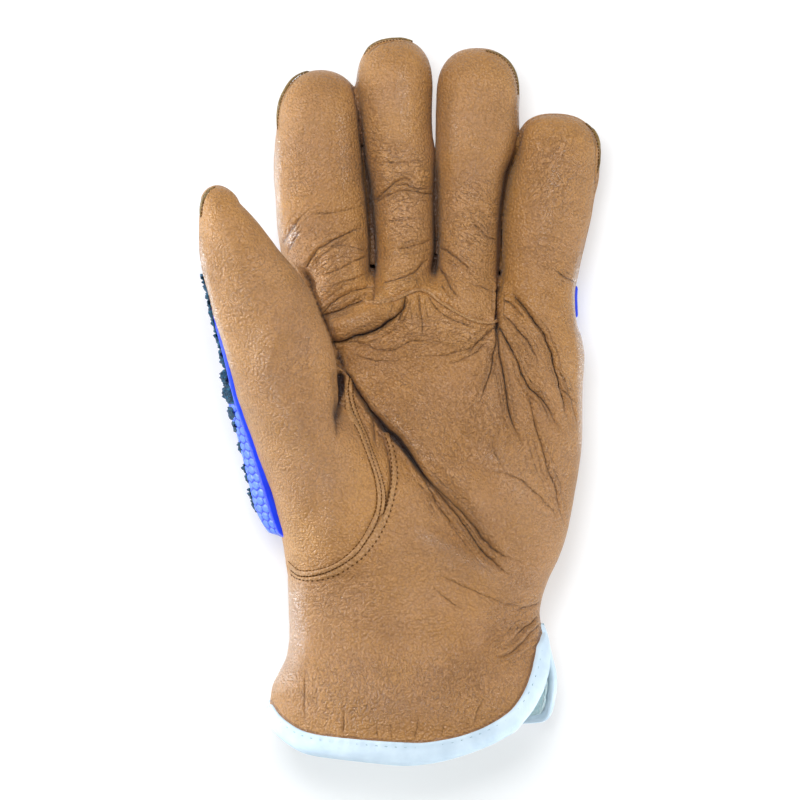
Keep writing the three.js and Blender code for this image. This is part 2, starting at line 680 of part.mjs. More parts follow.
function roundedBlock({ x, y, w, h }, radius) {
  const shape = new THREE.Shape();
  const [left, right, bottom, top] = [x - w / 2, x + w / 2, y - h / 2, y + h / 2];
  const corners = [
    [right - radius, top - radius, 0],
    [left + radius, top - radius, 1],
    [left + radius, bottom + radius, 2],
    [right - radius, bottom + radius, 3],
  ];
  const quarterTurn = Math.PI / 2;
  for (const [cx, cy, quarter] of corners) {
    shape.absarc(cx, cy, radius, quarter * quarterTurn, (quarter + 1) * quarterTurn);
  }
  const depth = KNUCKLE_GUARD.height;
  return solid(new THREE.ExtrudeGeometry(shape, { depth, curveSegments: 2, bevelEnabled: false }));
}

function knuckleGuard() {
  const grown = (grow) => union(handForm(grow), fingersForm(grow));
  const leather = grown(GAP);
  const plate = grown(GUARD_PLATE).intersect(upright(KNUCKLE_GUARD.outline, 0, KNUCKLE_GUARD.height));
  const crown = grown(KNUCKLE_BUMP);
  const bumps = KNUCKLE_GUARD.bumps.map((bump) => roundedBlock(bump, KNUCKLE_GUARD.cornerRadius).intersect(crown));
  return union(plate, ...bumps).subtract(leather);
}

const made = {
  ...handPanels(),
  ...thumbPanels(),
  ...bindings(),
  ...cuffLining(),
  thumb_guard: without(thumbGuard(), thumbForm(GAP), handForm(GAP)),
  thumb_guard_ridge: without(thumbGuardRidge(), thumbGuard(), handForm(GAP)),
  knuckle_guard: knuckleGuard(),
};

// The largest piece of a cut: what the cuts leave besides it are crumbs
function mainPiece(body) {
  return body.decompose().reduce((most, piece) => (piece.volume() > most.volume() ? piece : most));
}

function material({ color, roughness, metalness }) {
  return new THREE.MeshStandardMaterial({ color, roughness, metalness });
}

// Nodes that aren't tan leather, with their colours
const COLOUR_OF = {
  finger_welt: "welt",
  thumb_inner_welt: "welt",
  thumb_seam_band: "welt",
  cuff_binding_palm: "binding",
  cuff_binding_back: "binding",
  cuff_lining: "lining",
  thumb_guard: "rubber",
  thumb_guard_ridge: "ridge",
  knuckle_guard: "rubber",
};

const glove = new THREE.Group();
for (const [name, body] of Object.entries(made)) {
  const mesh = new THREE.Mesh(geometryOf(mainPiece(body)), material(COLOURS[COLOUR_OF[name] ?? "leather"]));
  mesh.name = name;
  glove.add(mesh);
}

export default glove;
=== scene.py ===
"""Looks of a left-hand leather driver glove, lying palm up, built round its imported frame.

Lengths are in millimetres until a mesh is made. +X is towards the little finger, +Y towards the
fingertips and +Z out of the palm, where the camera is.
"""

import math
from collections import namedtuple
from itertools import product

import bpy
import numpy as np
import openvdb
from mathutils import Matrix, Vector
from mathutils.bvhtree import BVHTree


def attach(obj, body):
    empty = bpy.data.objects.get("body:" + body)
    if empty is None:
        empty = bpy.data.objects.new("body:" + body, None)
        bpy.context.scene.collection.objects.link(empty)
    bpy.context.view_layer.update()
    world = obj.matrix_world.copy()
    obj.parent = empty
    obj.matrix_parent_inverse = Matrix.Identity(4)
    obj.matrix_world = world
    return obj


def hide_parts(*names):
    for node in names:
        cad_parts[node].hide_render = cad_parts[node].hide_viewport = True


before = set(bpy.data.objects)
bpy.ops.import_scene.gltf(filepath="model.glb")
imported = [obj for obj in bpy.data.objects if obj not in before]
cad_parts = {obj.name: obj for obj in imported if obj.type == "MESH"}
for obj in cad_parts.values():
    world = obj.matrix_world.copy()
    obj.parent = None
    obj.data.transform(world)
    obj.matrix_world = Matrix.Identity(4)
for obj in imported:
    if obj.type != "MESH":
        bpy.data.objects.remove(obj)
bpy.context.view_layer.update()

MM = 0.001
# The photo's scale, its side and its middle, for paths that are given in its pixels
PIXEL = 0.345
PHOTO_SIDE = 800
PHOTO_MIDDLE = 400

# Skin of the glove: the grid that it is made on, how it is smoothed, the leather's thickness, how near to a
# seam a point moves onto it, and the shade of a fold and the length of an edge where the mesh gets finer
VOXEL = 0.7
GRID_LOW = (-74.0, -131.0, -3.0)
GRID_HIGH = (74.0, 129.0, 70.0)
START_CAP = 8.0
SMOOTH_STEPS = (0.5, -0.52)
SMOOTH_ROUNDS = 3
LEATHER = 1.3
SNAP = 0.08
FINE_SHADE = 0.12
FINE_EDGE = 0.4

# Folds: shares of their tables' depth and width, the form of the valley and of the lip beside it, how their
# shade grows with depth, and how far their measures reach
CREASE_DEPTH = 0.72
CREASE_WIDTH = 0.76
VALLEY_POWER = 1.4
LIP_HEIGHT = 0.25
LIP_PLACE = 2.3
SHADE_LEAST = 0.3
SHADE_MOST = 1.7
SHADE_DEPTH = 2.4
LINE_REACH = 2.0
SHARP_END = 1e-3

# Seams between the panels: how deep they sink, how wide, and how wide their shade is
SEAM_DEPTH = 0.55
SEAM_WIDTH = 0.8
SEAM_SHADE = 0.7

# What functions hand on. A skin's data has a row for each point: its place and its outward direction
Measures = namedtuple("Measures", "distance side along")
Skin = namedtuple("Skin", "data tris")
Folds = namedtuple("Folds", "depth shade push line near")

Row = namedtuple("Row", "y left right back front")
Tip = namedtuple("Tip", "x y power")
Flare = namedtuple("Flare", "y left right")
Tube = namedtuple("Tube", "rows roundness tip flares")
NO_FLARE = [Flare(0, 0, 0), Flare(1, 0, 0)]
# Heights under a tube's middle over which its flare comes in
FLARE_HEIGHTS = (-1, 6)

# Sections of the hand and of each digit: the left and right edge as seen from above, the back (down)
# and the front (up). tip is the end of the round tip. A flare is how far the back half stands out past
# the left and right edge, where neighbours press together
HAND = Tube(
    rows=[
        Row(-132, -44.9, 54.4, 1.3, 45.6),
        Row(-104, -44.9, 54.4, 1.3, 45.8),
        Row(-99, -44.0, 54.4, 1.4, 45.4),
        Row(-94, -41.8, 53.6, 1.6, 44.6),
        Row(-89, -39.6, 52.0, 2.0, 43.8),
        Row(-84, -38.7, 50.6, 2.4, 43.0),
        Row(-74, -38.5, 48.6, 2.8, 41.8),
        Row(-64, -38.6, 51.0, 2.4, 41.4),
        Row(-55, -38.8, 55.1, 1.5, 41.4),
        Row(-47, -38.8, 57.7, 0.9, 41.2),
        Row(-39, -38.6, 59.5, 0.5, 41.0),
        Row(-31, -38.4, 60.8, 0.4, 40.8),
        Row(-15, -38.0, 62.9, 1.0, 39.8),
        Row(1, -38.0, 63.5, 2.4, 38.4),
        Row(9, -38.0, 63.3, 3.3, 37.5),
        Row(17, -38.0, 62.4, 4.1, 36.6),
        Row(24, -38.0, 58.0, 4.7, 35.6),
        Row(31, -35.0, 44.0, 5.6, 33.8),
    ],
    roundness=2.5,
    tip=Tip(0.0, 42.0, 2.4),
    flares=NO_FLARE,
)
INDEX = Tube(
    rows=[
        Row(12, -36.0, -11.0, 7.0, 32.0),
        Row(28, -39.5, -9.6, 4.6, 34.6),
        Row(42, -40.6, -9.8, 4.0, 33.0),
        Row(52, -41.2, -10.0, 4.0, 31.8),
        Row(60, -42.5, -10.3, 4.0, 31.2),
        Row(68, -43.1, -11.1, 4.2, 31.0),
        Row(76, -43.5, -12.4, 4.5, 31.0),
        Row(88, -43.2, -13.4, 5.4, 31.6),
        Row(98, -42.2, -13.9, 6.6, 32.2),
    ],
    roundness=2.3,
    tip=Tip(-26.8, 114.5, 2.15),
    flares=[Flare(20, 0, 1.4), Flare(38, 0, 2.6), Flare(50, 0, 2.2), Flare(80, 0, 1.6), Flare(96, 0, 0)],
)
MIDDLE = Tube(
    rows=[
        Row(16, -7.4, 9.2, 7.0, 31.0),
        Row(30, -9.0, 10.6, 4.6, 35.0),
        Row(43, -9.2, 10.6, 4.0, 33.8),
        Row(50, -8.9, 12.0, 3.8, 32.2),
        Row(60, -9.2, 12.2, 3.8, 31.2),
        Row(70, -9.7, 12.3, 3.8, 30.8),
        Row(83, -12.0, 12.1, 4.3, 30.6),
        Row(97, -14.2, 10.9, 5.2, 31.0),
        Row(109, -15.5, 11.2, 6.4, 31.8),
    ],
    roundness=2.3,
    tip=Tip(-2.1, 125.6, 2.4),
    flares=[
        Flare(20, 1.4, 1.0), Flare(38, 2.6, 1.8), Flare(50, 2.2, 1.4), Flare(80, 1.6, 0.4),
        Flare(96, 0, 0),
    ],
)
RING = Tube(
    rows=[
        Row(10, 13.6, 30.6, 7.0, 31.0),
        Row(24, 11.8, 33.0, 4.6, 34.8),
        Row(38, 11.8, 34.3, 4.0, 33.2),
        Row(47, 12.6, 34.5, 3.8, 31.8),
        Row(54, 12.9, 34.8, 3.8, 31.0),
        Row(62, 12.5, 35.1, 3.8, 30.4),
        Row(70, 12.3, 35.7, 3.9, 30.2),
        Row(78, 12.3, 36.9, 4.1, 30.1),
        Row(86, 12.4, 39.3, 4.6, 30.3),
        Row(93, 12.4, 40.8, 5.2, 30.7),
        Row(105, 12.8, 41.4, 6.4, 31.4),
    ],
    roundness=2.3,
    tip=Tip(27.0, 121.8, 2.3),
    flares=[
        Flare(12, 0.8, 1.2), Flare(38, 1.8, 1.6), Flare(50, 1.4, 1.0), Flare(80, 0.4, 1.0),
        Flare(90, 0, 1.6), Flare(99, 0, 0),
    ],
)
LITTLE = Tube(
    rows=[
        Row(6, 37.0, 59.6, 7.0, 30.0),
        Row(20, 34.8, 61.8, 4.6, 33.2),
        Row(31, 34.4, 60.8, 4.1, 31.6),
        Row(38, 34.6, 60.7, 4.0, 30.4),
        Row(46, 35.2, 62.5, 3.8, 29.4),
        Row(54, 35.5, 64.4, 3.8, 28.8),
        Row(63, 35.9, 66.1, 3.8, 28.4),
        Row(70, 36.9, 67.1, 4.0, 28.0),
        Row(76, 38.0, 68.6, 4.2, 27.9),
        Row(86, 41.0, 69.3, 5.0, 28.0),
    ],
    roundness=2.3,
    tip=Tip(53.6, 99.6, 2.4),
    flares=[Flare(12, 1.2, 0), Flare(40, 1.9, 0), Flare(76, 2.3, 0), Flare(86, 1.6, 0), Flare(92, 0, 0)],
)
THUMB = Tube(
    rows=[
        Row(-60, -35.0, -24.0, 10.0, 36.0),
        Row(-55, -38.4, -18.0, 8.0, 39.6),
        Row(-50, -39.8, -13.0, 6.8, 42.0),
        Row(-41, -42.6, -8.0, 6.0, 45.6),
        Row(-31, -45.6, -6.0, 6.4, 48.8),
        Row(-23, -48.0, -7.5, 8.0, 50.8),
        Row(-14, -50.8, -12.0, 11.0, 53.2),
        Row(-5, -53.8, -19.0, 15.0, 55.8),
        Row(4, -56.7, -21.6, 21.0, 58.0),
        Row(12, -58.9, -21.6, 28.0, 60.0),
        Row(20, -61.2, -23.4, 33.0, 61.6),
        Row(29, -64.0, -27.4, 36.0, 63.2),
        Row(37, -66.0, -31.0, 38.2, 64.6),
        Row(45, -68.2, -35.8, 40.4, 65.4),
        Row(52, -69.1, -41.7, 42.6, 65.8),
        Row(58, -69.1, -46.7, 44.6, 65.8),
        Row(63, -68.9, -50.8, 46.4, 65.2),
        Row(67.5, -68.3, -55.2, 48.4, 64.2),
    ],
    roundness=2.1,
    tip=Tip(-62.8, 73.6, 1.8),
    flares=NO_FLARE,
)
FINGERS = {"index": INDEX, "middle": MIDDLE, "ring": RING, "little": LITTLE}

# How softly the forms run into each other. The thumb's blend grows to that of its base over BLEND_DOWN, which
# is counted towards the cuff, and less so to the left of BLEND_ACROSS
BLEND_FINGERS = 1.0
BLEND_ROOTS = 5.0
BLEND_THUMB = 3.0
BLEND_THUMB_BASE = 14.0
BLEND_OUTSIDE = 0.15
BLEND_DOWN = (-6, 16)
BLEND_ACROSS = (-40, -24)

# Seams on the hand's front, as seen from above
TWO_FINGER_SEAM = [
    (363, 297), (365, 301), (372, 303), (385, 302), (400, 297), (408, 293), (417, 290), (425, 291),
    (432, 295), (440, 302), (450, 308), (460, 314), (470, 319), (480, 322), (490, 323), (499, 320),
]
# Lines of the thumb's seam, in photo pixels: A is the edge of the thumb's leather, B the middle line,
# C the far line of the left branch, D and E the two lines of the right branch. B and E go on round the
# base
LINE_A = [
    (346, 376), (345, 388), (345, 400), (346, 410), (350, 417), (354, 424), (358, 431), (363, 444),
    (369, 460), (374, 475), (376.5, 490), (377, 497), (375.5, 510), (371, 521), (366, 531), (359.5, 541.5),
    (346, 555.5), (328.5, 566), (313, 570), (299, 570), (289, 562),
]
LINE_B = [
    (349, 377), (349, 396), (352, 410), (358, 423), (363, 434), (368, 447), (373, 462), (377, 474),
    (380.5, 488), (381, 503), (378.5, 516), (375, 526), (366.5, 540), (356, 554), (342.5, 564),
    (328.5, 571), (313, 575.5), (299, 575.5), (290.5, 569.5),
]
LINE_C = [
    (352, 378), (353.5, 398), (357, 411), (361, 422), (367, 436), (373, 452), (379, 468), (383, 482),
    (385, 490), (385.5, 502), (384, 512),
]
LINE_D = [
    (360, 397), (370, 410), (378, 421), (384, 433), (388.5, 447), (391, 463), (391.5, 477), (389.5, 493),
    (386, 507), (383, 514), (379.5, 520), (375, 527), (367, 540), (356.5, 554), (343, 564), (329, 571.5),
    (313, 576), (299, 576), (290.5, 570),
]
LINE_E = [
    (366, 395), (376, 408), (384, 420), (389, 434), (393.5, 449), (396, 462), (397.5, 475), (396, 487),
    (393.5, 500), (389, 515), (386.5, 521), (380, 535), (371.5, 547), (363, 557), (351, 566), (335.5, 575),
    (321.5, 579.5), (308, 580.5), (297.5, 578.5), (291.5, 574.5),
]
# Where the thumb's panels end, under the strips of its seam, and where the gusset ends under the right
# branch. The corners that lie on no seam lie outside the leather that the outline cuts
THUMB_AREA = [(340, 300), (344, 355), *LINE_B, (270, 566), (120, 540), (120, 120), (340, 120)]
GUSSET_AREA = [*LINE_B[:10], (382, 503), *LINE_D[9::-1], (352, 385)]

# Places where handling has left the leather's finish smooth: how strongly, how wide in millimetres, how sharp
# its edge is, and the path
Gleam = namedtuple("Gleam", "strength width sharp path")
GLEAMS = [
    Gleam(0.95, 2.1, 3, [(276, 124), (274, 150), (273.5, 185), (275.5, 215), (279, 240), (283, 254)]),
    Gleam(0.95, 1.1, 2, [(283, 247), (289, 236), (297, 222)]),
    Gleam(0.8, 0.9, 2, [(288, 251), (293, 240), (300, 228)]),
    Gleam(0.9, 1.6, 3, [(198, 224), (200, 250), (206, 284), (216, 322), (226, 354), (236, 388)]),
    Gleam(0.95, 1.5, 3, [
        (590, 225), (584, 255), (578, 275), (577, 300), (580, 335), (583, 360), (584, 400), (583, 440),
        (582, 480)]),
    Gleam(0.9, 2.2, 2, [(284, 562), (288, 600), (287, 640), (280, 668), (272, 704)]),
    Gleam(0.6, 4.2, 2, [(289, 566), (293, 600), (294, 636), (287, 668), (280, 704)]),
    Gleam(0.9, 0.9, 3, [(357, 60), (355, 74), (355.5, 86)]),
    Gleam(0.95, 1.3, 3, [(510, 60), (517, 76), (521, 98), (521, 120), (517, 140)]),
    Gleam(0.27, 2.4, 2, [(398, 522), (424, 536), (452, 550), (482, 567), (512, 584)]),
    Gleam(0.18, 2.2, 2, [(362, 386), (382, 404), (402, 426), (424, 452), (446, 478)]),
    Gleam(0.2, 2.6, 2, [(338, 96), (342, 130), (344, 165), (345, 200)]),
    Gleam(0.2, 2.6, 2, [(401, 56), (404, 90), (406, 124), (408, 150)]),
    Gleam(0.14, 2.6, 2, [(452, 100), (455, 130), (456, 165)]),
    Gleam(0.14, 3.0, 2, [(560, 150), (552, 190), (545, 225), (538, 262)]),
    Gleam(0.16, 2.6, 2, [(336, 326), (356, 320), (376, 312)]),
    Gleam(0.14, 2.4, 2, [(330, 262), (348, 254), (362, 248)]),
    Gleam(0.14, 5.0, 2, [(225, 262), (240, 300), (258, 345), (276, 400), (292, 450)]),
    Gleam(0.13, 6.0, 2, [(478, 436), (510, 474), (530, 514)]),
]

# Sewn edges round the tips, which show from above: the side of the path that the raw edge stands on, above
# zero on its left, and the path
TipSeam = namedtuple("TipSeam", "side path")
TIP_SEAMS = {
    "index": TipSeam(-1, [
        (309, 70), (301, 73), (292, 80), (285.5, 90), (281, 100), (278.5, 112), (277.5, 128)]),
    "middle": TipSeam(1, [(364, 54), (370, 47), (379, 42), (390, 39.5), (402, 38.5), (413, 40)]),
    "ring": TipSeam(1, [(486, 50), (497, 53.5), (506, 60), (512.5, 69), (516.5, 80), (518.5, 94)]),
    "little": TipSeam(1, [(586, 122), (592, 128), (596.5, 136), (599, 148), (599, 160), (598, 172)]),
    "thumb": TipSeam(-1, [(217, 189), (211, 193), (206.5, 200), (204, 208), (202.5, 219)]),
}
TIP_EDGE = 0.9
WELT_HALF = 0.6

# A raised strip across its width: pairs of (share across, share of its height)
STRIP_PROFILE = [
    (0.0, -0.5), (0.02, 0.1), (0.12, 0.75), (0.3, 1.0), (0.5, 1.05), (0.7, 1.0), (0.88, 0.75), (0.98, 0.1),
    (1.0, -0.5),
]
# Strips of the thumb's seam between two lines, and the rows of stitches on them
SeamStrip = namedtuple("SeamStrip", "name left right height nodes")
SEAM_STRIPS = [
    SeamStrip("seam_strip_thumb", LINE_A, LINE_B, 0.55, ["thumb_inner_welt"]),
    SeamStrip("seam_strip_gusset", LINE_B[:11], LINE_C, 0.4, []),
    SeamStrip("seam_strip_palm", LINE_D[3:], LINE_E[3:], 0.45, ["thumb_seam_band"]),
]
Stitch = namedtuple("Stitch", "pitch length radius rise")
StitchRow = namedtuple("StitchRow", "name line stitch")
SEAM_STITCHES = [
    StitchRow("a", LINE_A[2:], Stitch(1.5, 1.2, 0.17, 0.2)),
    StitchRow("b", LINE_B, Stitch(1.3, 0.85, 0.23, 0.42)),
    StitchRow("c", LINE_C, Stitch(1.1, 0.75, 0.22, 0.34)),
    StitchRow("d", LINE_D[3:10], Stitch(1.5, 0.85, 0.24, 0.4)),
    StitchRow("e", LINE_E[3:], Stitch(1.95, 0.85, 0.28, 0.32)),
]
TIP_STITCH = Stitch(1.15, 0.8, 0.2, 0.16)
TAPE_STITCH = Stitch(3.3, 1.0, 0.2, 0.78)
# A stitch is a round-ended rod: pairs of (place along it, share of its radius). It is sunk in a little
STITCH_RINGS = [(-0.5, 0.0), (-0.46, 0.6), (-0.34, 1.0), (0.34, 1.0), (0.46, 0.6), (0.5, 0.0)]
STITCH_SIDES = 8
STITCH_SINK = 0.1

# Folds and creases in photo pixels. depth and width are in millimetres; lean moves the leather on the
# path's left side over the line; start and end are the shares of the path over which it fades in and out
Crease = namedtuple("Crease", "depth width lean start end path")
# Creases from this depth on have fine ones beside them. Each lies on one side, further off by its stretch
COMPANION_FROM = 0.7
COMPANION_SIDES = ((-1, 1.0), (1, 1.0), (1, 1.8))
CREASES = {
    "thumb_crease": Crease(4.6, 1.0, 0.5, 0.1, 0.3, [
        (341, 366), (351, 378), (361, 396), (370, 409), (381, 419), (393, 431), (403, 442), (411, 453),
        (418, 464), (426, 475), (436, 487)]),
    "thumb_crease_low": Crease(2.2, 1.1, 0.8, 0.3, 0.25, [
        (406, 450), (423, 472), (434, 484), (445, 495), (456, 506), (468, 517), (476, 528), (484, 538),
        (494, 547), (505, 555), (522, 561)]),
    "thumb_crease_b": Crease(1.5, 0.8, 0.3, 0.3, 0.25, [
        (414, 464), (423, 474), (440, 495), (458, 517), (477, 542), (487, 554), (497, 564), (507, 573),
        (518, 582)]),
    "thumb_crease_c": Crease(0.9, 0.7, 0, 0.3, 0.4, [
        (419, 465), (428, 486), (436, 504), (451, 523), (464, 540)]),
    "palm_third": Crease(0.42, 0.55, 0.2, 0.3, 0.25, [
        (428, 568), (446, 578), (462, 585), (484, 594), (505, 603), (538, 608)]),
    "palm_fourth": Crease(0.45, 0.6, 0, 0.4, 0.4, [
        (428, 581), (438, 591), (449, 600), (458, 607), (467, 613)]),
    "sausage_upper": Crease(2.6, 1.0, 0.9, 0.02, 0.15, [
        (312, 319), (322, 314), (335, 310), (345, 306), (355, 302), (366, 297)]),
    "sausage_lower": Crease(3.2, 1.2, 1.0, 0.02, 0.15, [
        (326, 343), (338, 340), (350, 336), (365, 331), (380, 324), (395, 315), (404, 307), (408, 297)]),
    "sausage_end": Crease(1.4, 0.7, 0, 0.1, 0.3, [(406, 296), (404, 306), (401, 315), (397, 325)]),
    "sausage_end_b": Crease(0.5, 0.5, 0, 0.1, 0.3, [(411, 298), (409, 308), (405, 318), (399, 330)]),
    "index_roll_a": Crease(1.5, 0.7, 0.5, 0.1, 0.3, [
        (302, 270), (310, 258), (320, 248), (332, 240), (345, 233), (358, 229), (369, 227)]),
    "index_roll_a_fork": Crease(0.5, 0.5, 0, 0.2, 0.3, [
        (320, 248), (332, 246), (345, 246), (358, 249), (370, 252)]),
    "index_roll_b": Crease(0.65, 0.55, 0.3, 0.25, 0.1, [
        (372, 255), (360, 259), (350, 264), (340, 269), (330, 273), (318, 275)]),
    "index_roll_c": Crease(1.4, 0.65, 0.5, 0.1, 0.1, [
        (373, 283), (364, 287), (355, 290), (340, 297), (330, 304), (320, 313)]),
    "index_roll_c_fork": Crease(0.65, 0.5, 0.2, 0.1, 0.2, [
        (369, 289), (358, 297), (347, 303), (336, 306), (324, 310)]),
    "index_roll_d": Crease(0.35, 0.5, 0, 0.2, 0.3, [
        (310, 289), (330, 287), (345, 283), (360, 277), (372, 270)]),
    "index_knuckle": Crease(0.5, 0.6, 0, 0.3, 0.3, [
        (303, 216), (320, 213), (340, 212), (358, 207), (369, 202)]),
    "index_side": Crease(0.8, 0.7, 0, 0.1, 0.4, [
        (281, 244), (286, 236), (293, 227), (301, 217), (310, 208)]),
    "index_side_b": Crease(0.6, 0.6, 0, 0.1, 0.4, [(286, 254), (292, 244), (298, 234), (305, 226)]),
    "middle_knuckle": Crease(1.2, 0.7, 0.3, 0.1, 0.3, [
        (371, 200), (379, 195), (386, 189), (395, 181), (404, 178), (411, 180), (418, 186)]),
    "middle_knuckle_b": Crease(0.8, 0.6, 0, 0.3, 0.2, [
        (386, 190), (395, 186), (406, 184), (418, 188), (434, 187)]),
    "middle_knuckle_low": Crease(1.0, 0.6, 0.2, 0.1, 0.1, [
        (372, 201), (388, 195), (400, 191), (412, 190), (424, 192), (436, 193)]),
    "middle_wrinkle": Crease(0.5, 0.6, 0, 0.3, 0.3, [
        (377, 219), (390, 221), (402, 220), (414, 218), (428, 216)]),
    "middle_low": Crease(0.7, 0.6, 0, 0.3, 0.2, [(392, 250), (405, 248), (420, 244), (434, 238)]),
    "middle_high": Crease(0.5, 0.6, 0, 0.3, 0.3, [
        (371, 164), (385, 162), (400, 163), (416, 160), (432, 163)]),
    "middle_root": Crease(1.2, 0.8, 0.3, 0.2, 0.2, [
        (378, 284), (390, 281), (405, 277), (418, 270), (430, 258)]),
    "ring_knuckle": Crease(0.7, 0.7, 0, 0.2, 0.2, [(470, 223), (478, 227), (486, 235), (498, 241)]),
    "ring_roll_a": Crease(0.9, 0.7, 0, 0.1, 0.3, [
        (438, 247), (446, 251), (456, 257), (466, 266), (474, 274)]),
    "ring_roll_b": Crease(0.9, 0.7, 0, 0.1, 0.3, [
        (437, 265), (443, 274), (449, 284), (455, 295), (463, 304)]),
    "ring_roll_c": Crease(0.5, 0.6, 0, 0.2, 0.3, [(440, 283), (448, 296), (455, 303)]),
    "ring_low": Crease(0.5, 0.6, 0, 0.3, 0.1, [(470, 284), (480, 286), (492, 290), (499, 292)]),
    "little_side": Crease(0.8, 0.8, 0, 0.4, 0.1, [(552, 268), (560, 272), (568, 278), (579, 284)]),
    "crotch_a": Crease(1.2, 0.8, 0.3, 0.02, 0.5, [
        (499, 323), (490, 332), (480, 341), (471, 349), (459, 359)]),
    "crotch_b": Crease(1.6, 0.8, 0.3, 0.02, 0.5, [
        (498, 325), (496, 344), (494, 357), (491, 370), (486, 387), (479, 402), (473, 414)]),
    "crotch_c": Crease(1.9, 0.85, 0.4, 0.02, 0.4, [
        (499, 326), (499, 340), (502, 366), (507, 394), (511, 417), (515, 428), (520, 440), (525, 455)]),
    "crotch_d": Crease(1.8, 0.85, 0.4, 0.02, 0.4, [
        (500, 325), (507, 339), (514, 351), (522, 372), (531, 388), (544, 401), (555, 422), (563, 433),
        (571, 441)]),
    "crotch_d_long": Crease(0.9, 0.65, 0.2, 0.2, 0.35, [
        (524, 375), (529, 395), (533, 413), (539, 438), (546, 463), (555, 484), (559, 508), (566, 528),
        (574, 549)]),
    "crotch_e": Crease(1.1, 0.8, 0.2, 0.1, 0.4, [
        (503, 312), (515, 325), (527, 340), (535, 353), (538, 363), (545, 372)]),
    "crotch_f": Crease(2.6, 1.05, 0.8, 0.15, 0.3, [
        (508, 287), (512, 291), (522, 303), (533, 316), (546, 334), (551, 344), (554, 353), (560, 379),
        (564, 400), (567, 415), (570, 431)]),
    "crotch_f_low": Crease(0.8, 0.65, 0, 0.2, 0.4, [
        (556, 360), (566, 380), (572, 398), (577, 418), (580, 440)]),
    "crotch_g": Crease(0.9, 0.7, 0, 0.1, 0.5, [(503, 297), (512, 304), (522, 314), (530, 324)]),
    "crotch_h": Crease(0.9, 0.7, 0.2, 0.1, 0.3, [(557, 383), (564, 389), (571, 395), (579, 403)]),
    "crotch_i": Crease(0.6, 0.6, 0, 0.3, 0.5, [(530, 380), (537, 394), (544, 408), (549, 420), (552, 436)]),
    "palm_top": Crease(0.65, 0.55, 0, 0.1, 0.3, [
        (334, 345), (346, 341), (357, 341), (367, 343), (376, 349), (391, 350), (410, 342), (430, 341),
        (449, 345)]),
    "palm_top_b": Crease(0.5, 0.6, 0, 0.3, 0.4, [
        (350, 350), (362, 357), (376, 361), (392, 361), (410, 357)]),
    "palm_top_c": Crease(0.5, 0.5, 0, 0.3, 0.2, [
        (410, 357), (428, 356), (441, 355), (455, 353), (469, 349), (484, 340), (494, 326)]),
    "palm_upright": Crease(0.8, 0.65, 0, 0.1, 0.3, [
        (419, 293), (420, 301), (421, 308), (423, 327), (422, 341)]),
    "palm_upright_b": Crease(0.6, 0.6, 0, 0.1, 0.4, [
        (427, 293), (436, 308), (444, 315), (453, 321), (473, 327), (490, 327)]),
    "palm_fan_b": Crease(0.5, 0.7, 0, 0.3, 0.4, [(490, 338), (476, 352), (458, 362), (438, 368)]),
    "palm_faint": Crease(0.55, 0.65, 0, 0.3, 0.4, [
        (479, 467), (492, 470), (505, 473), (522, 480), (535, 493), (552, 508), (558, 520), (563, 536)]),
    "palm_faint_b": Crease(0.35, 0.6, 0, 0.3, 0.4, [(492, 439), (494, 452), (500, 464), (512, 476)]),
    "wrist_a": Crease(1.0, 0.8, 0.3, 0.1, 0.4, [
        (542, 616), (534, 622), (526, 628), (519, 633), (510, 643)]),
    "wrist_b": Crease(0.9, 0.8, 0.3, 0.1, 0.4, [
        (544, 623), (534, 631), (524, 643), (514, 651), (502, 656), (488, 656)]),
    "wrist_c": Crease(0.6, 0.8, 0, 0.1, 0.4, [(546, 602), (536, 606), (524, 607), (510, 612)]),
    "index_tip_seam": Crease(0.68, 0.45, 0, 0.15, 0.1, [
        (309, 70.5), (301, 73.5), (293, 81), (286.5, 91), (282.5, 100), (280, 112), (278.5, 128)]),
    "middle_tip_seam": Crease(0.6, 0.45, 0, 0.2, 0.2, [
        (365, 55), (371, 48.5), (380, 43), (392, 40), (406, 39.5), (416, 43)]),
    "little_tip_seam": Crease(0.5, 0.45, 0, 0.2, 0.3, [
        (590, 128), (595, 138), (597, 150), (597, 164), (595, 180), (592, 198)]),
    "slit": Crease(2.2, 1.7, 0.0, 0.2, 0.5, [
        (339.5, 378), (339.5, 392), (338.5, 404), (338, 416), (338.5, 428), (339, 440), (339.5, 450)]),
    "hem_a": Crease(0.4, 0.5, 0, 0.3, 0.2, [(306, 664), (305.5, 684), (304, 702), (305, 722)]),
    "hem_b": Crease(0.38, 0.5, 0, 0.4, 0.1, [(346, 704), (344, 716), (343, 732)]),
    "hem_c": Crease(0.25, 0.5, 0, 0.4, 0.1, [(377, 722), (376, 730), (377, 738)]),
    "hem_d": Crease(0.28, 0.5, 0, 0.4, 0.1, [(392, 716), (391, 728), (391, 740)]),
    "hem_e": Crease(0.34, 0.5, 0, 0.4, 0.1, [(418, 712), (417, 726), (415, 741)]),
    "hem_f": Crease(0.36, 0.5, 0, 0.4, 0.1, [(484, 694), (478, 708), (474, 724)]),
    "hem_g": Crease(0.2, 0.5, 0, 0.4, 0.1, [(446, 716), (444, 726), (441, 736)]),
    "crotch_gap": Crease(3.0, 0.9, 0.0, 0.15, 0.15, [(500, 278), (498.5, 300), (497.5, 318), (499, 334)]),
    "gusset_fold": Crease(1.0, 0.7, 0, 0.3, 0.4, [(370, 410), (374, 421), (376, 431), (378, 452)]),
}

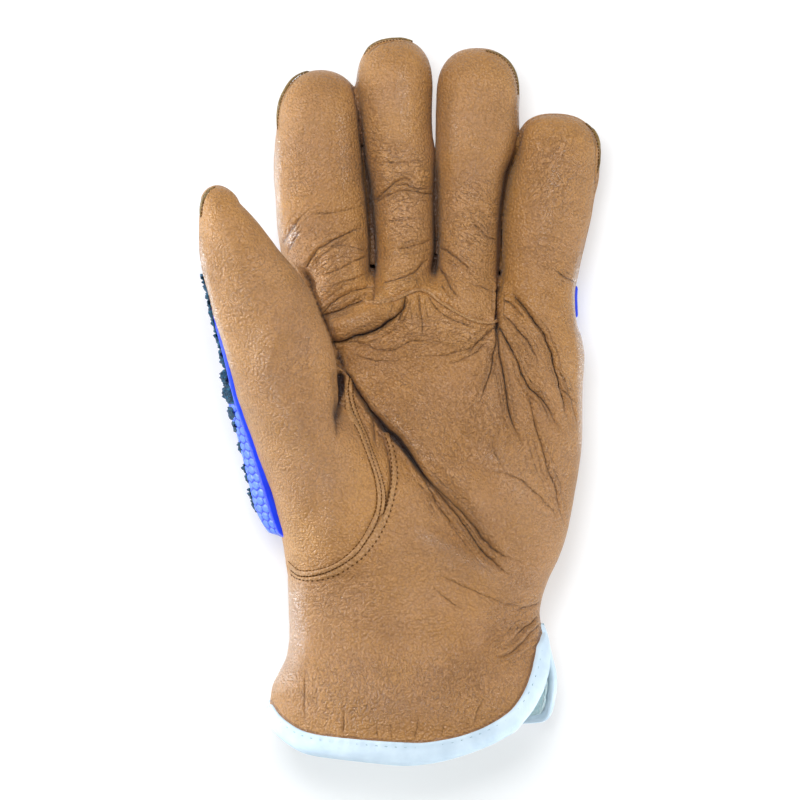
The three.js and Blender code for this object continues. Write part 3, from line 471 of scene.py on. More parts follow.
# The same on the thumb's leather
THUMB_CREASES = {
    "thumb_slit": Crease(3.4, 2.5, 0, 0.1, 0.65, [
        (340, 368), (340.5, 384), (340.5, 396), (339.5, 408), (338.5, 420), (338.5, 434), (339, 450)]),
    "thumb_valley": Crease(0.12, 1.0, 0, 0.4, 0.5, [(313.5, 326), (312, 338), (309, 352), (305, 366)]),
    "thumb_tip_seam": Crease(1.1, 0.45, 0, 0.1, 0.15, [
        (213, 189), (209, 194), (206, 200), (204, 207), (202.5, 214), (202, 220)]),
}

# Broad hollows (above zero) and swells (below zero) of the front, in the same form
HOLLOWS = {
    "palm_hollow": Crease(1.1, 5.5, 0, 0.3, 0.3, [
        (350, 356), (376, 366), (410, 372), (440, 378), (474, 380)]),
    "lip_valley": Crease(2.6, 5.0, 0, 0.35, 0.35, [
        (420, 474), (440, 497), (462, 520), (484, 542), (510, 562)]),
    "lip_swell": Crease(-2.6, 5.0, 0, 0.25, 0.35, [
        (374, 384), (398, 410), (424, 442), (452, 478), (482, 512), (505, 534)]),
    "lower_swell": Crease(-1.1, 6.0, 0, 0.3, 0.3, [
        (396, 532), (427, 548), (450, 560), (478, 574), (505, 588), (530, 598)]),
    "ridge_valley": Crease(1.3, 2.8, 0, 0.3, 0.3, [
        (424, 512), (440, 526), (462, 543), (484, 558), (508, 572)]),
    "heel_hollow": Crease(0.5, 6.0, 0, 0.3, 0.4, [(400, 545), (430, 566), (470, 592), (510, 612)]),
    "sausage": Crease(-4.2, 3.6, 0, 0.1, 0.1, [(328, 328), (345, 323), (362, 317), (380, 311), (396, 303)]),
    "index_roll": Crease(-1.9, 4.2, 0, 0.25, 0.25, [(318, 262), (332, 255), (348, 250), (366, 246)]),
    "index_roll_low": Crease(-1.7, 3.6, 0, 0.2, 0.2, [(314, 292), (332, 286), (350, 278), (368, 268)]),
    "heel_swell": Crease(-1.2, 8.0, 0, 0.3, 0.4, [(440, 450), (480, 490), (520, 530)]),
    "little_swell": Crease(-1.3, 4.0, 0, 0.3, 0.4, [(545, 352), (553, 390), (558, 430), (556, 480)]),
    "fan_swell_a": Crease(-1.0, 2.6, 0, 0.2, 0.4, [(508, 345), (514, 375), (520, 405), (528, 430)]),
    "fan_swell_b": Crease(-1.2, 3.0, 0, 0.2, 0.4, [(522, 335), (534, 360), (546, 390), (556, 415)]),
    "finger_swell": Crease(-1.2, 4.5, 0, 0.3, 0.3, [(484, 352), (484, 380), (474, 405)]),
    "ring_root": Crease(-1.4, 4.0, 0, 0.3, 0.3, [(450, 275), (465, 292), (480, 305)]),
    "middle_root": Crease(-1.6, 3.6, 0, 0.3, 0.3, [(385, 290), (402, 286), (420, 278)]),
    "wrist_hollow": Crease(1.4, 7.0, 0, 0.4, 0.4, [(310, 636), (400, 640), (470, 640), (520, 632)]),
    "wrist_swell": Crease(-1.2, 7.0, 0, 0.4, 0.4, [(310, 690), (400, 700), (480, 690)]),
}

THUMB_HOLLOWS = {
    "thumb_soft": Crease(1.7, 5.5, 0, 0.4, 0.4, [
        (320, 320), (312, 345), (302, 370), (288, 400), (280, 425)]),
    "thumb_soft_swell": Crease(-1.2, 5.0, 0, 0.4, 0.4, [(292, 300), (284, 330), (272, 360), (262, 392)]),
    "thumb_base": Crease(1.2, 5.0, 0, 0.4, 0.4, [(300, 470), (318, 500), (325, 530)]),
}

# Zones of wrinkled leather, in photo pixels: the middle, the reach across and along, the direction that the
# wrinkles run in, in degrees, and their depth and spacing in millimetres
Zone = namedtuple("Zone", "x y wide high run depth spacing")
WRINKLE_ZONES = [
    Zone(315, 275, 45, 55, 30, 0.24, 2.2),
    Zone(330, 235, 40, 40, 15, 0.18, 2.0),
    Zone(400, 200, 35, 40, 4, 0.3, 2.2),
    Zone(405, 255, 32, 35, 10, 0.28, 2.2),
    Zone(468, 262, 34, 45, -40, 0.5, 2.2),
    Zone(498, 112, 18, 26, -20, 0.36, 1.8),
    Zone(470, 215, 34, 30, -25, 0.34, 2.2),
    Zone(550, 250, 40, 40, -35, 0.28, 2.4),
    Zone(470, 335, 55, 30, 5, 0.28, 2.2),
    Zone(395, 335, 60, 22, -5, 0.3, 2.2),
    Zone(530, 380, 50, 80, -68, 0.28, 2.4),
    Zone(485, 410, 35, 60, 65, 0.35, 2.6),
    Zone(500, 560, 60, 60, -40, 0.35, 3.0),
    Zone(520, 640, 40, 35, 30, 0.4, 2.6),
    Zone(440, 520, 50, 60, -52, 0.25, 2.6),
    Zone(330, 620, 60, 60, -20, 0.16, 3.2),
    Zone(400, 690, 120, 45, 85, 0.2, 3.4),
    Zone(355, 360, 35, 22, -50, 0.26, 2.0),
    Zone(290, 420, 50, 90, 60, 0.12, 2.6),
]

# Directions of the fine wrinkles, in degrees, and the zones where only fine ones show
RUNS = (0, 30, 60, 90, 120, 150)
FINE_ZONES = [
    Zone(300, 165, 30, 45, 22, 0.36, 0),
    Zone(345, 150, 28, 60, 60, 0.2, 0),
    Zone(315, 110, 45, 35, 10, 0.16, 0),
    Zone(372, 120, 25, 60, 15, 0.34, 0),
    Zone(410, 110, 30, 60, 70, 0.22, 0),
    Zone(400, 165, 40, 30, 4, 0.3, 0),
    Zone(470, 130, 40, 70, 75, 0.3, 0),
    Zone(475, 180, 40, 30, -20, 0.34, 0),
    Zone(555, 180, 40, 60, 60, 0.3, 0),
    Zone(240, 270, 40, 50, 40, 0.3, 0),
    Zone(300, 330, 30, 60, 70, 0.3, 0),
    Zone(260, 380, 45, 70, 25, 0.22, 0),
    Zone(320, 450, 45, 80, 80, 0.3, 0),
    Zone(400, 400, 60, 60, -25, 0.3, 0),
    Zone(450, 430, 60, 60, -60, 0.24, 0),
    Zone(540, 480, 50, 70, 55, 0.34, 0),
    Zone(500, 540, 60, 60, 15, 0.3, 0),
    Zone(420, 560, 60, 50, 20, 0.26, 0),
    Zone(340, 600, 60, 40, 5, 0.24, 0),
    Zone(520, 610, 40, 40, 15, 0.36, 0),
    Zone(400, 640, 110, 50, 70, 0.2, 0),
    Zone(340, 690, 60, 40, 85, 0.24, 0),
    Zone(480, 690, 60, 40, 80, 0.26, 0),
]

# Each zone's wrinkles in two layers: the share of its depth, then the sizes along, across and through the
# leather in spacings, and the seed of the first zone
Layer = namedtuple("Layer", "share along across through seed")
LAYERS = [Layer(1.0, 4, 1, 3, 40), Layer(0.5, 2.2, 0.55, 2, 80)]
WRINKLE_SHARE = 0.62

# Soft dents everywhere: their height, their size and their seed
Dent = namedtuple("Dent", "height size seed")
DENTS = [Dent(0.5, 17, 3), Dent(0.14, 7, 4), Dent(0.05, 3.2, 5)]

# Slopes that fall to a path from its right side only, with painted shade on that side next to the path
SLOPES = {
    "below_lip": Crease(4.8, 4.0, 0, 0.4, 0.45, [
        (350, 378), (369, 408), (392, 430), (410, 452), (425, 474), (441, 494), (462, 514)]),
    "under_thumb": Crease(2.0, 2.4, 0, 0.15, 0.2, [
        (341, 376), (338, 364), (334.5, 350), (329, 334), (320, 312), (310, 290), (301, 272), (294, 260)]),
    "under_thumb_fold": Crease(2.2, 3.4, 0, 0.3, 0.4, [(345, 374), (340, 364), (336, 352), (333, 342)]),
    "under_thumb_index": Crease(2.0, 3.0, 0, 0.3, 0.4, [(312, 292), (304, 276), (297, 264)]),
    "below_sausage": Crease(1.8, 3.2, 0, 0.05, 0.2, [(328, 343), (350, 337), (380, 325), (404, 308)]),
    "below_index": Crease(1.2, 2.6, 0, 0.05, 0.2, [(314, 318), (335, 311), (363, 299)]),
    "beside_fan": Crease(1.0, 2.6, 0, 0.1, 0.4, [
        (512, 291), (533, 316), (551, 344), (560, 379), (567, 415)]),
}

# Heights of the seams between front and back: (y, z) along the outer sides, and the upper and lower edge of
# the strips between the fingers, which run out near each finger's tip
SIDE_SEAM = [(-140, 21), (-90, 22), (-30, 21), (20, 19), (60, 18.5), (95, 20), (130, 21)]
STRIP_UPPER = [(20, 20), (60, 17.8), (92, 18.5)]
STRIP_LOWER = [(20, 11), (60, 10.5), (92, 12)]
STRIP_RUN_OUT = 26.0
SEAM_TIP = 20.0
THUMB_SEAM = [(-70, 20), (-45, 23), (-10, 34), (20, 48), (50, 56.5), (80, 58)]
INDEX_MIDDLE = [
    (-9.2, 10), (-9.3, 40), (-9.8, 56), (-11.2, 70), (-12.8, 84), (-14.2, 100), (-16.6, 112), (-17.5, 132),
]
RING_LITTLE = [(34, 10), (34.1, 40), (34.4, 56), (35.4, 68), (36.9, 78), (40.9, 88), (43.0, 98), (44, 132)]
MIDDLE_SPLIT = 12.2
MIDDLE_X = {"index": -25.5, "middle": 0.5, "ring": 24.5, "little": 50.5}

# Painted shade between the fingers: how dark it is, the height that it stays under and, for each gap, the
# shift of its middle from the gap's, how far it reaches to the left and to the right, and where it ends along
# Y
Gap = namedtuple("Gap", "shift left right end")
GAP_SHADE = 1.15
GAP_TOP = 29.5
GAPS = [Gap(0.6, 1.3, 3.6, 112), Gap(0.0, 1.5, 2.0, 90), Gap(-0.4, 4.0, 1.2, 91)]

# Cuff: outer and inner edge of the tape on the palm flap, in photo pixels, then on the back flap as angles
# round the section, in degrees, with their places along Y
PALM_TAPE_OUTER = [
    (269, 710), (270, 722), (276, 734), (285, 742), (300, 751), (316, 755), (340, 758), (368, 761),
    (401, 764), (422, 763), (441, 760), (463, 754), (490, 744), (504, 737), (516, 730), (525, 720),
    (534, 709), (542, 694), (547, 679), (549.5, 664), (549, 648), (546, 631),
]
PALM_TAPE_INNER = [
    (271, 703), (274, 707), (280, 715), (290, 723), (303, 730), (319, 734), (340, 736.5), (368, 739),
    (400, 741), (422, 741.5), (441, 739), (460, 735), (480, 728), (492, 722), (502, 716), (511, 709),
    (519, 699), (526, 686), (531, 672), (535.5, 656), (539, 643), (543, 629),
]
BACK_TAPE_OUTER = [
    (180, -106.6), (200, -110.8), (225, -112.2), (270, -112.8), (315, -112.4), (336, -111.2), (344, -107.5),
    (350, -101), (355, -92), (362, -84), (369, -79.4),
]
BACK_TAPE_INNER = [
    (180, -104.4), (200, -103.4), (225, -104.2), (270, -104.8), (312, -104.4), (325, -102.8), (331, -98),
    (336, -92), (341, -86), (350, -80.5), (362, -76.4),
]
# The tape across its width: pairs of (share from the hem to the sewn edge, rise off the leather)
TAPE_PROFILE = [
    (1.0, 0.15), (0.98, 0.75), (0.9, 0.95), (0.8, 0.8), (0.62, 1.15), (0.4, 1.3), (0.2, 1.15), (0.07, 0.6),
    (0.0, -0.2), (-0.03, -LEATHER / 2 - 0.3), (0.0, -LEATHER - 0.5), (0.2, -LEATHER - 1.2),
    (0.6, -LEATHER - 1.3), (0.95, -LEATHER - 1.1), (1.0, -LEATHER - 0.3),
]
# Points along the tape, how many of them round off each end, and the height of its ripples
TAPE_POINTS = 260
TAPE_ROUND = 5
TAPE_RIPPLE = 0.07
# How wide and how strong the shade beside the tape is, and where its stitches run across it
TAPE_LINE = 0.35
TAPE_SHADE = 2.0
TAPE_SEWN = 0.78
# Where the tapes meet at the cuff's side, and how far the leather ends inside the hem
CUFF_SIDE_Y = -82
HEM_IN = 1.6
# Lining: where it starts inside the hem, how deep it lies, its thickness, where it ends and its rows
LINING_START = 2.2
LINING_IN = 2.6
LINING_THICK = 1.0
LINING_END = -58.0
LINING_ROWS = 36

# Guard on the thumb's back. Rows along it: where its front edge stands round the thumb's girth, in degrees
# from +X towards +Z, and its share of the profile's height
GuardRow = namedtuple("GuardRow", "y turn size")
THUMB_GUARD = [
    GuardRow(-47.4, 159, 0.55), GuardRow(-43, 159.5, 0.8), GuardRow(-38, 160, 0.95),
    GuardRow(-30, 162, 0.95), GuardRow(-14, 168, 0.88), GuardRow(0, 174, 0.8), GuardRow(12, 177, 0.55),
    GuardRow(22, 179, 0.42), GuardRow(32, 183, 0.22), GuardRow(42, 190, 0.15), GuardRow(47, 194, 0.12),
]
# Its section: pairs of (degrees from the front edge, height off the leather)
GUARD_PROFILE = [
    (0, 0.2), (2.5, 1.9), (6, 2.3), (10, 2.2), (13, 1.9), (18, 3.4), (24, 5.2), (31, 7.0), (40, 8.0),
    (52, 7.4), (66, 6.0), (88, 4.0), (100, 2.4), (106, 3.0), (112, 2.5), (116, 0.2),
]

# Dark lumps along the guard: their middles along Y and round the thumb in degrees, their lengths and how far
# they stand off the guard
Lump = namedtuple("Lump", "y turn length height")
LUMPS = [
    Lump(41.5, 191, 3.6, 0.6), Lump(38.2, 191, 4.2, 0.8), Lump(34.4, 192, 5.4, 1.0),
    Lump(30.0, 192, 5.6, 1.2), Lump(25.6, 193, 6.2, 1.2), Lump(20.6, 194, 6.4, 1.4),
    Lump(14.6, 195, 7.4, 1.5), Lump(8.2, 198, 5.4, 2.2), Lump(2.2, 200, 7.0, 1.3),
    Lump(-4.6, 204, 4.6, 1.1), Lump(-9.2, 206, 4.2, 0.9), Lump(-16.4, 207, 5.0, 0.9),
    Lump(-25.4, 207, 7.2, 0.9), Lump(-34.6, 207, 8.8, 1.0),
]
LUMP_HALF = 11
LUMP_ROWS = 48
LUMP_COLUMNS = 44
GUARD_ROWS = 260
GUARD_COLUMNS = 170
GUARD_SINK = 0.6
# Girth of the thumb in millimetres for each degree, and the honeycomb's cells
DEGREE = 0.36
GUARD_CELL = 3.1
GUARD_GROOVE = 0.5

# Guard over the knuckles, as seen from above, with the flat bumps that the glove rests on
KNUCKLE_EDGE = [
    (-34, 15), (-35, 38), (-22, 43), (-10, 42), (2, 47), (12, 43), (24, 44), (36, 38), (48, 40), (70, 39.5),
    (70, 31.5), (57, 27), (50, 12), (22, 9), (-10, 9),
]
Bump = namedtuple("Bump", "x y wide high")
KNUCKLE_BUMPS = [Bump(-24, 27, 17, 17), Bump(1, 29, 15, 19), Bump(22.5, 28, 15, 19), Bump(46, 24, 17, 15)]
KNUCKLE_PLATE = 2.2
KNUCKLE_TOP = 16.5
KNUCKLE_ROUND = 1.6
KNUCKLE_CELL = 2.6
KNUCKLE_GROOVE = 0.5

# Colours of the leathers, from 0 to 255. The fourth is a painted sheen for wrinkled leather; the last is the
# tone of the grain's valleys and pores, of the seams and of the painted shade in folds and gaps
Tones = namedtuple("Tones", "light middle dark dull crease")
TAN = Tones((192, 138, 73), (185, 131, 67), (177, 124, 62), (184, 136, 95), (92, 50, 30))
PALE = Tones((192, 143, 88), (184, 134, 80), (168, 119, 68), (174, 131, 92), (88, 54, 28))
RAW = Tones((150, 118, 62), (132, 104, 50), (104, 80, 36), (120, 98, 54), (50, 32, 14))

# The studio. Its floor glows a little, as a lit table does
FLOOR_GLOW = 0.52
FLOOR_HALF = 1500
AIR_COLOUR = (0.93, 0.97, 1.0, 1)
AIR_STRENGTH = 0.24
CAMERA_LENS = 420
CAMERA_SENSOR = 36
GLOVE_MIDDLE = 0.034
Light = namedtuple("Light", "name place size power colour")
LIGHT_TARGET = (0, 0, 0.02)
LIGHTS = [
    Light("key", (-0.1, 0.28, 0.95), (0.4, 0.4), 8.1, (0.96, 0.98, 1.0)),
    Light("fill", (0.72, 0.0, 0.62), (0.2, 0.7), 1.2, (0.95, 0.98, 1.0)),
    Light("left_fill", (-0.6, 0.0, 0.7), (0.3, 0.6), 0.7, (0.95, 0.98, 1.0)),
    Light("left_edge", (-0.5, 0.0, 0.05), (0.5, 0.08), 3.0, (0.8, 0.91, 1.0)),
    Light("right_edge", (0.42, -0.4, 0.06), (0.4, 0.06), 2.0, (0.86, 0.94, 1.0)),
]


# Numbers and curves


def on_photo(path):
    """A path in photo pixels as [x, y] in millimetres"""
    return [((px - PHOTO_MIDDLE) * PIXEL, (PHOTO_MIDDLE - py) * PIXEL) for px, py in path]


def smooth_step(value, low, high):
    """0 up to low, 1 from high on and a soft rise between them"""
    part = np.clip((value - low) / (high - low), 0, 1)
    return part * part * (3 - 2 * part)


def faded(along, start, end):
    """1 along a path, and less over the given shares at its start and its end"""
    return smooth_step(along, 0, start) * smooth_step(1 - along, 0, end)


def signed_power(value, power):
    return np.sign(value) * np.abs(value) ** power


def smooth_curve(at, places, values):
    """Values at the given places of a smooth curve through a table"""
    places = np.asarray(places, float)
    values = np.asarray(values, float)
    slopes = np.gradient(values, places)
    at = np.clip(at, places[0], places[-1])
    i = np.clip(np.searchsorted(places, at) - 1, 0, len(places) - 2)
    span = places[i + 1] - places[i]
    t = (at - places[i]) / span
    ends = (1 + 2 * t) * (1 - t) ** 2 * values[i] + t * t * (3 - 2 * t) * values[i + 1]
    turns = t * (1 - t) ** 2 * slopes[i] - t * t * (1 - t) * slopes[i + 1]
    return ends + span * turns


def line_at(at, line):
    """The second value of a line of pairs, at places along the first"""
    return np.interp(at, [a for a, b in line], [b for a, b in line])


def resample(path, count):
    """A smooth curve through a path's points, as count points evenly spaced along it"""
    path = np.asarray(path, float)
    steps = np.r_[0, np.cumsum(np.linalg.norm(np.diff(path, axis=0), axis=1))]
    fine = np.linspace(0, steps[-1], count * 4)
    curve = np.stack([smooth_curve(fine, steps, column) for column in path.T], axis=1)
    lengths = np.r_[0, np.cumsum(np.linalg.norm(np.diff(curve, axis=0), axis=1))]
    even = np.linspace(0, lengths[-1], count)
    return np.stack([np.interp(even, lengths, column) for column in curve.T], axis=1)


def path_length(path):
    return float(np.linalg.norm(np.diff(np.asarray(path, float), axis=0), axis=1).sum())


def noise(points, size, seed):
    """Smooth noise from -1 to 1 with lumps about size wide. size may differ along X, Y and Z"""
    period = 32
    table = np.random.default_rng(seed).uniform(-1, 1, (period,) * 3)
    cell = points / np.asarray(size, float)
    low = np.floor(cell).astype(int)
    part = cell - low
    part = part * part * (3 - 2 * part)
    total = np.zeros(len(points))
    for corner in product((0, 1), repeat=3):
        weight = np.ones(len(points))
        for axis in range(3):
            weight = weight * (part[:, axis] if corner[axis] else 1 - part[:, axis])
        place = (low + corner) % period
        total += weight * table[place[:, 0], place[:, 1], place[:, 2]]
    return total


def measure_path(x, y, path):
    """Distance from a path seen from above, the side of it (above zero on its left) and the share along it"""
    path = np.asarray(path, float)
    steps = np.r_[0, np.cumsum(np.linalg.norm(np.diff(path, axis=0), axis=1))]
    best = np.full(x.shape, np.inf)
    side = np.zeros(x.shape)
    along = np.zeros(x.shape)
    for i in range(len(path) - 1):
        start = path[i]
        span = path[i + 1] - start
        square = span @ span
        part = np.clip(((x - start[0]) * span[0] + (y - start[1]) * span[1]) / square, 0, 1)
        off_x = x - start[0] - part * span[0]
        off_y = y - start[1] - part * span[1]
        distance = np.hypot(off_x, off_y)
        closer = distance < best
        best = np.where(closer, distance, best)
        turn = span[0] * (y - start[1]) - span[1] * (x - start[0])
        side = np.where(closer, np.sign(turn), side)
        along = np.where(closer, (steps[i] + part * math.sqrt(square)) / steps[-1], along)
    return Measures(best, side, along)


def left_of(x, y, path):
    """Distance from a path, above zero on its left and below zero on its right"""
    measures = measure_path(x, y, path)
    return measures.distance * measures.side


def polygon_side(x, y, corners):
    """Distance from a closed outline, above zero inside it"""
    loop = [*corners, corners[0]]
    distance = measure_path(x, y, loop).distance
    inside = np.zeros(x.shape, bool)
    for (ax, ay), (bx, by) in zip(loop[:-1], loop[1:]):
        crosses = (ay > y) != (by > y)
        with np.errstate(divide="ignore", invalid="ignore"):
            at = ax + (y - ay) * (bx - ax) / (by - ay)
        inside ^= crosses & (x < at)
    return np.where(inside, distance, -distance)


# The glove's form


def tube_size(tube, y):
    """Middle and half sizes of a tube's section at each y, and how far y is past the last row"""
    table = np.array(tube.rows, float).T
    left, right, back, front = (smooth_curve(y, table[0], column) for column in table[1:])
    last = tube.rows[-1]
    past = np.clip((y - last.y) / (tube.tip.y - last.y), 0, None)
    drift = (tube.tip.x - (last.left + last.right) / 2) * np.minimum(past, 1)
    return (left + right) / 2 + drift, (back + front) / 2, (right - left) / 2, (front - back) / 2, past


def tube_value(tube, x, y, z):
    """1 on a tube's skin, less inside it and more outside it"""
    middle_x, middle_z, half_x, half_z, past = tube_size(tube, y)
    before = np.clip((tube.rows[0].y - y) / START_CAP, 0, None)
    power = tube.tip.power
    flares = np.array(tube.flares, float).T
    flare = np.where(x < middle_x, np.interp(y, flares[0], flares[1]), np.interp(y, flares[0], flares[2]))
    below = smooth_step(middle_z - z, *FLARE_HEIGHTS)
    across = np.abs(x - middle_x) / (half_x + flare * below)
    up = np.abs(z - middle_z) / half_z
    girth = (across**tube.roundness + up**tube.roundness) ** (power / tube.roundness)
    return (girth + (past + before) ** power) ** (1 / power)


def tube_distance(tube, grid):
    """Distance from a tube's skin on the grid, true near the skin"""
    value = tube_value(tube, *grid)
    slope_x, slope_y, slope_z = np.gradient(value, VOXEL)
    across = np.hypot(slope_x, slope_z)
    # along the tube its changing girth says little about places far from it
    ends = (grid[1] > tube.rows[-1].y) | (grid[1] < tube.rows[0].y)
    slope_y = np.where(ends, slope_y, np.clip(slope_y, -across, across))
    slope = np.hypot(across, slope_y)
    return (value - 1) / np.maximum(slope, 1e-4)


def soft_union(a, b, width):
    overlap = np.maximum(width - np.abs(a - b), 0) / width
    return np.minimum(a, b) - overlap * overlap * width / 4


def glove_field():
    """Distance from the whole glove's skin on a grid"""
    axes = [np.arange(low, high, VOXEL, dtype=np.float32) for low, high in zip(GRID_LOW, GRID_HIGH)]
    grid = np.meshgrid(*axes, indexing="ij", sparse=True)
    field = None
    for tube in FINGERS.values():
        finger = tube_distance(tube, grid)
        field = finger if field is None else soft_union(field, finger, BLEND_FINGERS)
    field = soft_union(field, tube_distance(HAND, grid), BLEND_ROOTS)
    inner = BLEND_OUTSIDE + (1 - BLEND_OUTSIDE) * smooth_step(grid[0], *BLEND_ACROSS)
    blend = BLEND_THUMB + (BLEND_THUMB_BASE - BLEND_THUMB) * smooth_step(-grid[1], *BLEND_DOWN) * inner
    return soft_union(field, tube_distance(THUMB, grid), blend).astype(np.float32)


def triangle_normals(points, tris):
    a, b, c = (points[tris[:, i]] for i in range(3))
    return np.cross(b - a, c - a)


def point_normals(points, tris):
    faces = triangle_normals(points, tris)
    total = np.zeros_like(points)
    for i in range(3):
        for axis in range(3):
            total[:, axis] += np.bincount(tris[:, i], faces[:, axis], len(points))
    return total / np.maximum(np.linalg.norm(total, axis=1, keepdims=True), 1e-12)


def triangle_edges(tris):
    return np.concatenate([tris[:, [0, 1]], tris[:, [1, 2]], tris[:, [2, 0]]])


def smoothed(points, tris):
    """Takes the grid's steps out of a surface without shrinking it"""
    first, second = triangle_edges(tris).T
    count = np.bincount(first, minlength=len(points))[:, None]
    for step in SMOOTH_STEPS * SMOOTH_ROUNDS:
        total = [np.bincount(first, column[second], len(points)) for column in points.T]
        points = points + step * (np.stack(total, axis=1) / count - points)
    return points


def glove_skin():
    """The skin of the whole glove, with no creases yet"""
    grid = openvdb.FloatGrid()
    reach = 3 * VOXEL
    grid.background = reach
    grid.copyFromArray(np.clip(glove_field(), -reach, reach))
    grid.transform = openvdb.createLinearTransform(voxelSize=VOXEL)
    points, quads = grid.convertToQuads(isovalue=0.0)
    points = points.astype(float) + np.array(GRID_LOW)
    tris = np.concatenate([quads[:, [0, 1, 2]], quads[:, [0, 2, 3]]]).astype(int)
    a, b, c = (points[tris[:, i]] for i in range(3))
    if np.einsum("ij,ij->i", a, np.cross(b, c)).sum() < 0:
        tris = tris[:, ::-1]
    points = smoothed(points, tris)
    return Skin(np.hstack([points, point_normals(points, tris)]), tris)


def odd_first(tris, odd):
    """Triangles turned so that the corner that odd marks comes first"""
    turn = (np.argmax(odd[tris], axis=1)[:, None] + np.arange(3)) % 3
    return np.take_along_axis(tris, turn, axis=1)


def clip(skin, value):
    """The part of a skin where value is above zero, cut clean along its zero line"""
    data, tris = skin
    total = len(data)
    value = np.where(np.abs(value) < SNAP, 0.0, value)
    high = value[tris] >= 0
    keep = high.all(axis=1) & (value[tris] > 0).any(axis=1)
    one = odd_first(tris[high.sum(axis=1) == 1], value >= 0)
    two = odd_first(tris[high.sum(axis=1) == 2], value < 0)
    pairs = np.concatenate([one[:, [0, 1]], one[:, [0, 2]], two[:, [0, 1]], two[:, [0, 2]]])
    keys, index = np.unique(np.sort(pairs, axis=1) @ np.array([total + 1, 1]), return_inverse=True)
    first, second = keys // (total + 1), keys % (total + 1)
    share = (value[first] / (value[first] - value[second]))[:, None]
    made = data[first] + share * (data[second] - data[first])
    ends = np.where(value[second] == 0, second, total + np.arange(len(keys)))
    ends = np.where(value[first] == 0, first, ends)
    one_a, one_b, two_a, two_b = np.split(ends[index], np.cumsum([len(one), len(one), len(two)]))
    tris = np.concatenate([
        tris[keep],
        np.stack([one[:, 0], one_a, one_b], axis=1),
        np.stack([two_a, two[:, 1], two[:, 2]], axis=1),
        np.stack([two_a, two[:, 2], two_b], axis=1),
    ])
    whole = (tris[:, 0] != tris[:, 1]) & (tris[:, 1] != tris[:, 2]) & (tris[:, 2] != tris[:, 0])
    return packed(Skin(np.vstack([data, made]), tris[whole]))


def split_edges(skin, wanted):
    """A skin with the wanted edges cut in half. wanted tells this for pairs of points"""
    data, tris = skin
    total = len(data)
    edges = np.stack([tris, np.roll(tris, -1, axis=1)], axis=-1)
    keys = np.sort(edges, axis=-1) @ np.array([total, 1])
    unique, index = np.unique(keys, return_inverse=True)
    index = index.reshape(-1, 3)
    first, second = unique // total, unique % total
    cut = wanted(first, second)
    number = total + np.cumsum(cut) - 1
    made = (data[first[cut]] + data[second[cut]]) / 2
    made[:, 3:6] /= np.linalg.norm(made[:, 3:6], axis=1, keepdims=True)
    marks = cut[index]
    middle = np.where(marks, number[index], -1)
    kinds = marks.sum(axis=1)
    faces = [tris[kinds == 0]]
    corner = np.arange(3)
    for kind in (1, 2):
        chosen = kinds == kind
        # turned so that the odd edge comes first
        odd = np.argmax(marks[chosen] == (kind == 1), axis=1)[:, None]
        turn = (odd + corner) % 3
        a, b, c = np.take_along_axis(tris[chosen], turn, axis=1).T
        m0, m1, m2 = np.take_along_axis(middle[chosen], turn, axis=1).T
        corners = [(a, m0, c), (m0, b, c)] if kind == 1 else [(m1, c, m2), (a, b, m1), (a, m1, m2)]
        faces += [np.stack(row, axis=1) for row in corners]
    a, b, c = tris[kinds == 3].T
    m0, m1, m2 = middle[kinds == 3].T
    faces += [np.stack(row, axis=1) for row in ((a, m0, m2), (m0, b, m1), (m2, m1, c), (m0, m1, m2))]
    return Skin(np.vstack([data, made]), np.concatenate(faces))


def refined(skin):
    """The skin with a finer mesh along its creases"""
    _, folds = creased(skin.data)

    def wanted(first, second):
        near = np.maximum(folds.near[first], folds.near[second]) > FINE_SHADE
        return near & (np.linalg.norm(skin.data[first, :3] - skin.data[second, :3], axis=1) > FINE_EDGE)

    return split_edges(skin, wanted)


def packed(skin):
    """A skin without the points that no triangle uses"""
    used, tris = np.unique(skin.tris, return_inverse=True)
    return Skin(skin.data[used], tris.reshape(-1, 3))


# Seams


def split_x(line, y):
    """Where the line between two fingers lies at each y"""
    return line_at(y, [(place, x) for x, place in line])


def strip_edge(x, y, line):
    """Height of a strip's edge between the fingers, which runs out to the tip's middle"""
    height = line_at(y, line)
    tip_y = np.select(
        [x < split_x(INDEX_MIDDLE, y), x < MIDDLE_SPLIT, x < split_x(RING_LITTLE, y)],
        [INDEX.tip.y, MIDDLE.tip.y, RING.tip.y],
        LITTLE.tip.y,
    )
    run_out = smooth_step(y, tip_y - STRIP_RUN_OUT, tip_y - 6)
    return height + (SEAM_TIP - height) * run_out


def inner_share(x, y):
    """1 on the sides where fingers face each other and 0 on the outer sides"""
    soft = 3.0
    share = smooth_step(x, MIDDLE_X["index"] - soft, MIDDLE_X["index"] + soft)
    share = share * smooth_step(-x, -MIDDLE_X["little"] - soft, -MIDDLE_X["little"] + soft)
    return share * smooth_step(y, 4, 20)


def seam_height(x, y, strip_line):
    """Height of the seam that bounds the front or the back, by its edge of the strips between the fingers"""
    side = line_at(y, SIDE_SEAM)
    return side + (strip_edge(x, y, strip_line) - side) * inner_share(x, y)


# Each side takes places and is above zero on one side of a seam


def front_side(x, y, z):
    return z - seam_height(x, y, STRIP_UPPER)


def back_side(x, y, z):
    return seam_height(x, y, STRIP_LOWER) - z


def two_finger_side(x, y, z):
    seam = left_of(x, y, on_photo([(340, 292), *TWO_FINGER_SEAM, (540, 300)]))
    return np.minimum(seam, np.minimum(x - split_x(INDEX_MIDDLE, y), split_x(RING_LITTLE, y) - x))


def gusset_side(x, y, z):
    return polygon_side(x, y, on_photo(GUSSET_AREA))


def thumb_front_side(x, y, z):
    return z - line_at(y, THUMB_SEAM)


